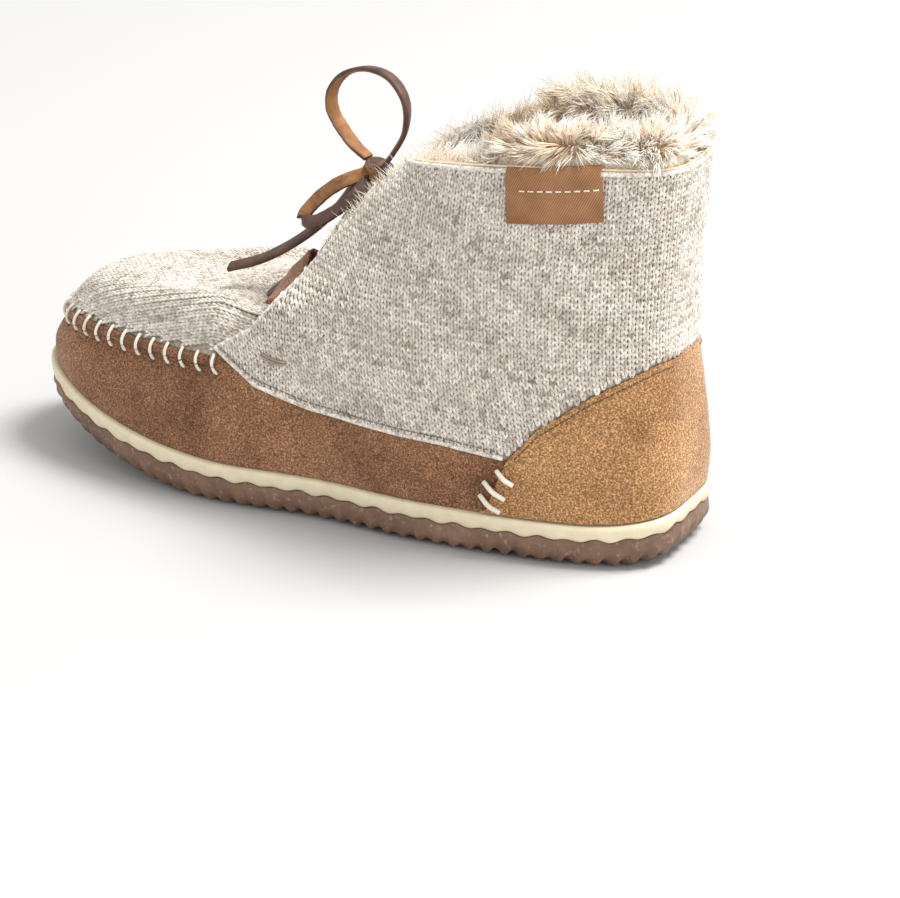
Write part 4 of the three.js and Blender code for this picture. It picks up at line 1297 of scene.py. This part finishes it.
# %% [markdown]
# Under the bow the lace lies flat on the tongue and runs through four folded suede tabs. The
# tabs come from under the quarter's front edges. Each is a wide strip that goes in towards
# the middle, folds and goes back under itself, with the lace in the fold.

# %% Crossed lace and its tabs
LACE_DEPTH, CROSSING = 3.0, 0.35  # the two crossings lie that much over and under each other
ROUTE = [(.112, 0), (.112, .36), (.098, .390), (.038, .382), (.022, -.228), (-.025, -.228),
         (-.036, 0)]
TABS = {"lower": (12.9, 23.2, 32.0, 14.2), "upper": (-3.8, 2.0, 19.5, 7.0)}
TAB_OVER, TAB_UNDER = -1.0, -5.0  # heights of the strip's two layers


def ground(x, y):
    hit, normal = drop(ground_tree, x, y, 130)
    return hit, normal * np.sign(normal[2])


bar_runs = []
for _, side in SIDES:
    route = smooth_path([(x * LENGTH, y * BALL * side) for x, y in ROUTE], 60)
    spots = [ground(x, y) for x, y in route]
    path = np.array([place - normal * (LACE_DEPTH + CROSSING * side) for place, normal in spots])
    normals = np.array([normal for _, normal in spots])
    bar_runs.append((path, np.cross(unit(np.gradient(path, axis=0)), normals)))
lengths_of("lace_crossings", bar_runs, FLAT, 2.4, 0.85, thong, "lace_bars",
           flesh_side=1)

for name, (x_back, x_front, y_out, y_in) in TABS.items():
    for word, side in SIDES:
        steps = [(y, TAB_OVER) for y in np.linspace(y_out, y_in, 9)]
        steps += [(y_in - 1.6 * math.sin(k), -3.0 + 2.0 * math.cos(k))
                  for k in np.linspace(0.4, math.pi - 0.4, 5)]
        steps += [(y, TAB_UNDER) for y in np.linspace(y_in, y_out, 9)]
        path, wide = [], []
        for y, height in steps:
            rear, rear_out = ground(x_back, side * y)
            near, near_out = ground(x_front, side * y)
            path.append((rear + near) / 2 + unit(rear_out + near_out) * height)
            wide.append(near - rear)
        half_wide = float(np.mean(np.linalg.norm(np.array(wide[:9]), axis=1))) / 2
        lengths_of(f"tab_{name}_{word}", [(np.array(path), np.array(wide))], FLAT, half_wide,
                   0.75, [suede], f"lace_tab_{name}_{word}")

# %% [markdown]
# The sole is two mouldings. The foam band follows the upper's edge, and its lower edge waves
# gently. The gum outsole grips it from below. Its rim is cut into ninety rounded nubs, and
# lugs stand under it. Both are made from rings that go round the sole at even steps.

# %% Sole
SOLE_WIDTHS = np.array([0.936, 0.955, 0.930, 0.855, 0.965, 1.000, 0.970])
NUBS, WAVES, STEPS = 90, 58, 8
SLOW_WAVES = 37
RIM = NUBS * STEPS
# inset at a nub, inset between nubs, height at a nub, height between, follow, wavy
OUTSOLE_RINGS = np.array([
    (14.0, 14.0, 2.6, 2.6, 0.0, 0), (5.4, 6.8, 0.3, 2.1, 0.0, 0),
    (1.7, 3.2, 2.29, 3.4, 0.2, 0), (0.5, 1.13, 5.41, 6.03, 0.6, 0),
    (0.9, 0.9, 8.53, 8.53, 0.9, .6), (1.5, 1.5, 10.4, 10.4, 1.0, 1),
])
BAND_RINGS = np.array([
    (3.0, 3.0, 10.7, 10.7, 1, 1), (1.2, 1.2, 10.75, 10.75, 1, 1),
    (0.3, 0.3, 12.1, 12.1, 1, .8), (0.0, 0.0, 14.6, 14.6, 1, 0),
    (0.5, 0.5, 15.9, 15.9, 1, 0), (1.3, 1.3, 16.3, 16.3, 1, 0),
    (4.0, 4.0, 16.3, 16.3, 1, 0),
])
LUG_PITCH, LUG_RADIUS, LUG_INSET = 19.0, 6.5, 17.0
LUG_HEIGHT, LUG_TAPER = 4.1, 0.8
PADS = [(-0.33 * LENGTH, -1.0, 13.0), (0.13 * LENGTH, -2.0, 13.0)]
nub_depths = rng.uniform(0.55, 1, NUBS)


def sole_outline(inset):
    angle = np.linspace(0, 2 * np.pi, RIM * 6 + 1)
    end = LENGTH / 2 - inset
    x, y, _ = ring_point(angle, -end, end, SOLE_WIDTHS * BALL - inset, 0.44, 0.63)
    run = np.concatenate([[0], np.cumsum(np.hypot(np.diff(x), np.diff(y)))])
    at = run[-1] * np.arange(RIM) / RIM
    return np.stack([np.interp(at, run, x), np.interp(at, run, y)], axis=1)


def ground_rise(x):
    return np.maximum(0, 1.28 * lift(x) - 1.2)


def moulding(rings, rows):
    numbers = np.arange(len(rings))
    tables = [monotone(numbers, rings[:, k]) for k in range(6)]
    share = np.arange(RIM) / RIM
    valley = (np.abs(np.sin(np.pi * NUBS * share)) ** 1.5
              * nub_depths[np.arange(RIM) // STEPS])
    wave = (0.5 * np.cos(2 * np.pi * WAVES * share)
            + 0.25 * np.cos(2 * np.pi * SLOW_WAVES * share + 1))
    circles = []
    for row in np.linspace(0, len(rings) - 1, rows + 1):
        inset, gap_inset, z, gap_z, follow, wavy = [float(table(row)) for table in tables]
        rim = (sole_outline(inset) * (1 - valley[:, None])
               + sole_outline(gap_inset) * valley[:, None])
        height = z * (1 - valley) + gap_z * valley
        rise = follow * lift(rim[:, 0]) + (1 - follow) * ground_rise(rim[:, 0])
        circles.append(np.column_stack([rim, height + rise + wavy * wave]))
    circles = np.array(circles)
    bm = bmesh.new()
    bmesh.ops.create_grid(bm, x_segments=RIM, y_segments=rows, size=1)
    i, j = grid_steps(bm.verts, RIM, rows)
    move(bm.verts, circles[j, i % RIM])
    bmesh.ops.remove_doubles(bm, verts=bm.verts, dist=WELD)
    edges = [e for e in bm.edges if e.is_boundary]
    caps = bmesh.ops.holes_fill(bm, edges=edges, sides=RIM)["faces"]
    bmesh.ops.triangulate(bm, faces=caps, ngon_method="BEAUTY")
    bmesh.ops.recalc_face_normals(bm, faces=bm.faces)
    return bm


def lugs():
    """x, y and radius of the two big pads and of the lugs that have room beside them."""
    edge = sole_outline(LUG_INSET)
    found = list(PADS)
    rows = int((LENGTH / 2 - LUG_INSET - LUG_RADIUS) / LUG_PITCH)
    for x in np.arange(-rows, rows + 1) * LUG_PITCH:
        near = edge[np.abs(edge[:, 0] - x) < LUG_PITCH / 3, 1]
        low, high = near.min(), near.max()
        count = max(1, int((high - low) / LUG_PITCH))
        for i in range(count):
            y = low + (high - low) * (i + 0.5) / count
            if all(math.hypot(px - x, py - y) > r + LUG_RADIUS + 1 for px, py, r in PADS):
                found.append((x, y, LUG_RADIUS))
    return found


def is_foot(edge, lowest):
    """Whether an edge runs round the foot of a lug."""
    sizes = [len(f.verts) for f in edge.link_faces]
    return min(sizes) > 3 and max(sizes) > 4 and edge.verts[0].co.z < (lowest + 1) * MM


outsole_bm = moulding(OUTSOLE_RINGS, 18)
for x, y, radius in lugs():
    lowest = ground_rise(np.array(x))
    lug = bmesh.ops.create_cone(outsole_bm, cap_ends=True, segments=20,
                                radius1=(radius - LUG_TAPER) * MM, radius2=radius * MM,
                                depth=LUG_HEIGHT * MM)["verts"]
    middle = np.array([x, y, lowest + LUG_HEIGHT / 2])
    bmesh.ops.translate(outsole_bm, verts=lug, vec=middle * MM)
    foot = [e for e in {e for v in lug for e in v.link_edges} if is_foot(e, lowest)]
    bmesh.ops.bevel(outsole_bm, geom=foot, offset=0.5 * MM, segments=2, affect="EDGES",
                    profile=0.5, material=-1)
dress(link("gum_outsole", outsole_bm, gum), "outsole")
dress(link("foam_band", moulding(BAND_RINGS, 12), band_foam), "midsole")


def insole_place(u, v):
    rim = skin(2 * np.pi * u, 0.03, -3.9)
    spine_x = rim[..., 0] * 0.8
    x = spine_x + (rim[..., 0] - spine_x) * v
    y = rim[..., 1] * v - swing_in(spine_x) * (1 - v)
    return np.stack([x, y, BASE + 5 + lift(x) + 0.25 * np.sin(x * 1.9) * np.sin(y * 2.3)],
                    axis=-1)


fitted_sheet("footbed_fleece", 120, 24, insole_place, [fleece], "insole",
             closed=True, wall=4.5)

# %% [markdown]
# A place in the picture can be found on the boot by sending a ray from the camera through
# it. The three big stitches that close the heel seam are placed this way, and then lie on the
# surface from every side. Other details are placed by x and z, with a ray from the side.

# %% Places on the side of the boot
skin_tree = drop_tree(flat, 0.0)


def picture_point(place, height):
    across, down = [(a - middle) / FOCUS for a, middle in zip(place, PICTURE_MIDDLE)]
    ray = (view_ahead + view_right * across - view_up * down).normalized()
    hit, normal, _, _ = skin_tree.ray_cast(EYE, ray)
    normal = normal if normal.dot(ray) < 0 else -normal
    return np.array(hit) + np.array(normal) * height


def on_side(x, z, height, side=1):
    """Points of the surface on the outer (1) or inner (-1) side, from x and z."""
    places = []
    for a, b in zip(x, z):
        hit, normal, _, _ = skin_tree.ray_cast(Vector((a, 200 * side, b)),
                                               Vector((0, -side, 0)))
        if hit is None:
            hit, normal, _, _ = skin_tree.find_nearest(Vector((a, 40 * side, b)))
        normal = normal if normal.y * side > 0 else -normal
        places.append(np.array(hit) + np.array(normal) * height)
    return np.array(places)


# %% [markdown]
# The label tab is a bare piece of brown twill, folded over the collar on the outer side.

# %% Label tab
LABEL_X, LABEL_HALF, LABEL_DROP = -0.352 * LENGTH, 16.5, 16.0
LABEL_FACE = 0.75  # share of the rows that hang on the outside


def label_top(across):
    """The tab's upper edge follows the collar down towards the toe."""
    return BASE + 0.982 * RISE - 0.1 * across


def label_place(u, v):
    across = LABEL_HALF * (1 - 2 * u)
    top = label_top(across)
    down = (1 - np.minimum(v / LABEL_FACE, 1)) * LABEL_DROP
    outside = on_side(LABEL_X + across, top - down, 2.7)
    over = np.clip((v - LABEL_FACE) / (1 - LABEL_FACE), 0, 1) * np.pi * 0.8
    fold = np.stack([0 * over, 2.2 * np.cos(over), 3.4 * np.sin(over) + 2.2 * over / np.pi],
                    axis=1)
    folded = on_side(LABEL_X + across, top, 0.5) + fold
    return np.where((v > LABEL_FACE)[:, None], folded, outside)


fitted_sheet("twill_label", 44, 36, label_place, [twill], "label_tab", wall=0.9,
             rounded=0.3)

# %% [markdown]
# Threads finish the boot. The moccasin seam is whipped with cream thread: each stitch climbs
# from a hole in the suede over the knit's rim, which lies in a roll of suede. Fine dark
# stitches hold the counter's top edge and the knit's lower edge, and three thick cream
# stitches close the heel seam.

# %% Seams
WHIP = [(.390, 1.4), (.384, 2.1), (.372, 2.6), (.358, 2.5), (.344, 1.7), (.335, .85),
        (.329, -.1)]  # t and height of a stitch's points
WHIP_REAR, RIM_REAR = 41, 42.5
HOLE_T, HOLE_RADIUS = .321, 0.85
HEEL_STITCHES = [((497, 470), (514, 484)), ((484, 481), (506, 498)),
                 ((480, 494), (501, 511))]  # ends in the picture, in pixels


def dashes(places, pitch, share=0.72):
    """Dashes of thread along a line of places."""
    run = arc(places)
    starts = np.arange(0.3, run[-1] - pitch, pitch)
    return [places_at(np.linspace(start, start + pitch * share, 5), run, places)
            for start in starts]


def threads(name, paths, radius, material, wide=ASLANT):
    return lengths_of(name, [(path, wide) for path in paths], ROUND, radius, radius,
                      [material])


seam_x = x_at(A_NET, np.full(len(A_NET), SEAM))
whips, hole_shades = [], []
for k in range(int(seam_run[-1] / SEAM_PITCH) + 1):
    angle = np.interp((k + 0.5) * SEAM_PITCH, seam_run, A_NET)
    if np.interp(angle, A_NET, seam_x) < WHIP_REAR:
        continue
    lean = 0.012 if angle < np.pi else -0.012
    spots = np.array([skin(angle + lean * i / 3, t, h) for i, (t, h) in enumerate(WHIP)])
    whips.append(smooth_path(spots, 16))
    hole_shades.append(skin(angle + lean * 2, HOLE_T, -0.1))
threads("moccasin_whipstitches", whips, 0.6, cream_thread)
rim_angles = A_NET[seam_x > RIM_REAR]
rim_angles = np.concatenate([rim_angles[rim_angles > np.pi] - 2 * np.pi,
                             rim_angles[rim_angles < np.pi]])
rim_path = skin(rim_angles, 0.3685, 0.55)
lengths_of("moccasin_rim", [(rim_path[::2], UPRIGHT)], ROUND, 2.1, 1.5, [suede],
           wobble=0.08)
# Small dark balls, sunk a little into the suede at the foot of each whip stitch, are painted
# shade inside the stitch holes.
bm = bmesh.new()
for spot in hole_shades:
    ball = bmesh.ops.create_uvsphere(bm, u_segments=10, v_segments=6,
                                     radius=HOLE_RADIUS * MM)["verts"]
    bmesh.ops.translate(bm, verts=ball, vec=spot * MM)
dress(link("stitch_holes", bm, brown_thread))

heel_stitches = []
for first, last in HEEL_STITCHES:
    middle = [(a + b) / 2 for a, b in zip(first, last)]
    spots = [picture_point(first, 0.6), picture_point(middle, 2.5), picture_point(last, 1.6)]
    heel_stitches.append(smooth_path(spots, 14))
threads("heel_seam_stitches", heel_stitches, 0.95, cream_thread)

counter_x = np.linspace(-128, -79, 60)
counter_z = np.interp(counter_x, COUNTER_X, COUNTER_Z) - 2.6
for word, side in SIDES:
    edge_line = on_side(counter_x, counter_z, 1.35, side)
    threads("counter_stitches_" + word, dashes(edge_line, 2.3), 0.24, brown_thread)

# %% [markdown]
# The knit's lower and front edges and the collar are rolled, with a narrow tape inside the
# collar. The rolls are of the knit's yarn, so their points get shades too.

# %% Edges
def mottle(piece, middle):
    count = len(piece.data.vertices)
    shade = piece.data.attributes.new("shade", "FLOAT", "POINT")
    shade.data.foreach_set("value", np.clip(rng.normal(middle, 0.13, count), 0, 1))


edge_x = skin(*level(S_GRID, knit_high))[:, 0]
rolls = []
for word, side in SIDES:
    here = spans & (S_GRID * side < 0)
    hem_s = S_GRID[here & (x_at(hem_angle, hem_t) > -76)]
    front_s = S_GRID[here & (edge_x > THROAT_REAR + 1)]
    rolls.append(on_section(hem_s, low_at(hem_s) + 0.4, 0.75))
    rolls.append(on_section(front_s, high_at(front_s) - 0.4, 0.4))
    hem_line = on_section(hem_s, low_at(hem_s) + 2.8, 1.85)
    threads("hem_stitches_" + word, dashes(hem_line, 2.5), 0.24, grey_thread)
mottle(threads("knit_edges", rolls, 0.95, yarn), 0.72)

collar_angles = A_NET[net[-1, :, 0] < THROAT_REAR][::2]
tape_path = skin(collar_angles, 0.999, 0.1) + np.array([0, 0, 0.5])
threads("collar_tape", [tape_path], 0.42, edge_tape, UPRIGHT)
collar_path = skin(collar_angles, 0.994, 0.75)
mottle(threads("collar_roll", [collar_path], 0.95, yarn, UPRIGHT), 0.74)

label_x = np.linspace(LABEL_X - LABEL_HALF + 1, LABEL_X + LABEL_HALF - 1, 40)
label_line = on_side(label_x, label_top(label_x - LABEL_X) - 3.6, 2.85)
threads("label_stitches", dashes(label_line, 3.3, 0.62), 0.3, cream_thread)
tack = on_side([22.5, 21, 17, 13, 10.5], [62.5, 62, 60.8, 60.4, 60.6], 1.2)
tack[[0, -1]] -= (0, 1.8, 0)  # the two ends go into the knit
tack_paths = [smooth_path(tack, 16), smooth_path(tack + (0.3, 0.1, -1.0), 16)]
threads("tack_thread", tack_paths, 0.5, tack_yarn)
print("seams done")

# %% [markdown]
# The last cell prints the boxes of the solids and of the dressed boot side by side.

# %% Sizes and the end
boxes = {"solids": solid_box, "dressed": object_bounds()}
boxes = {key: [list(map(float, corner)) for corner in box] for key, box in boxes.items()}
print(boxes)
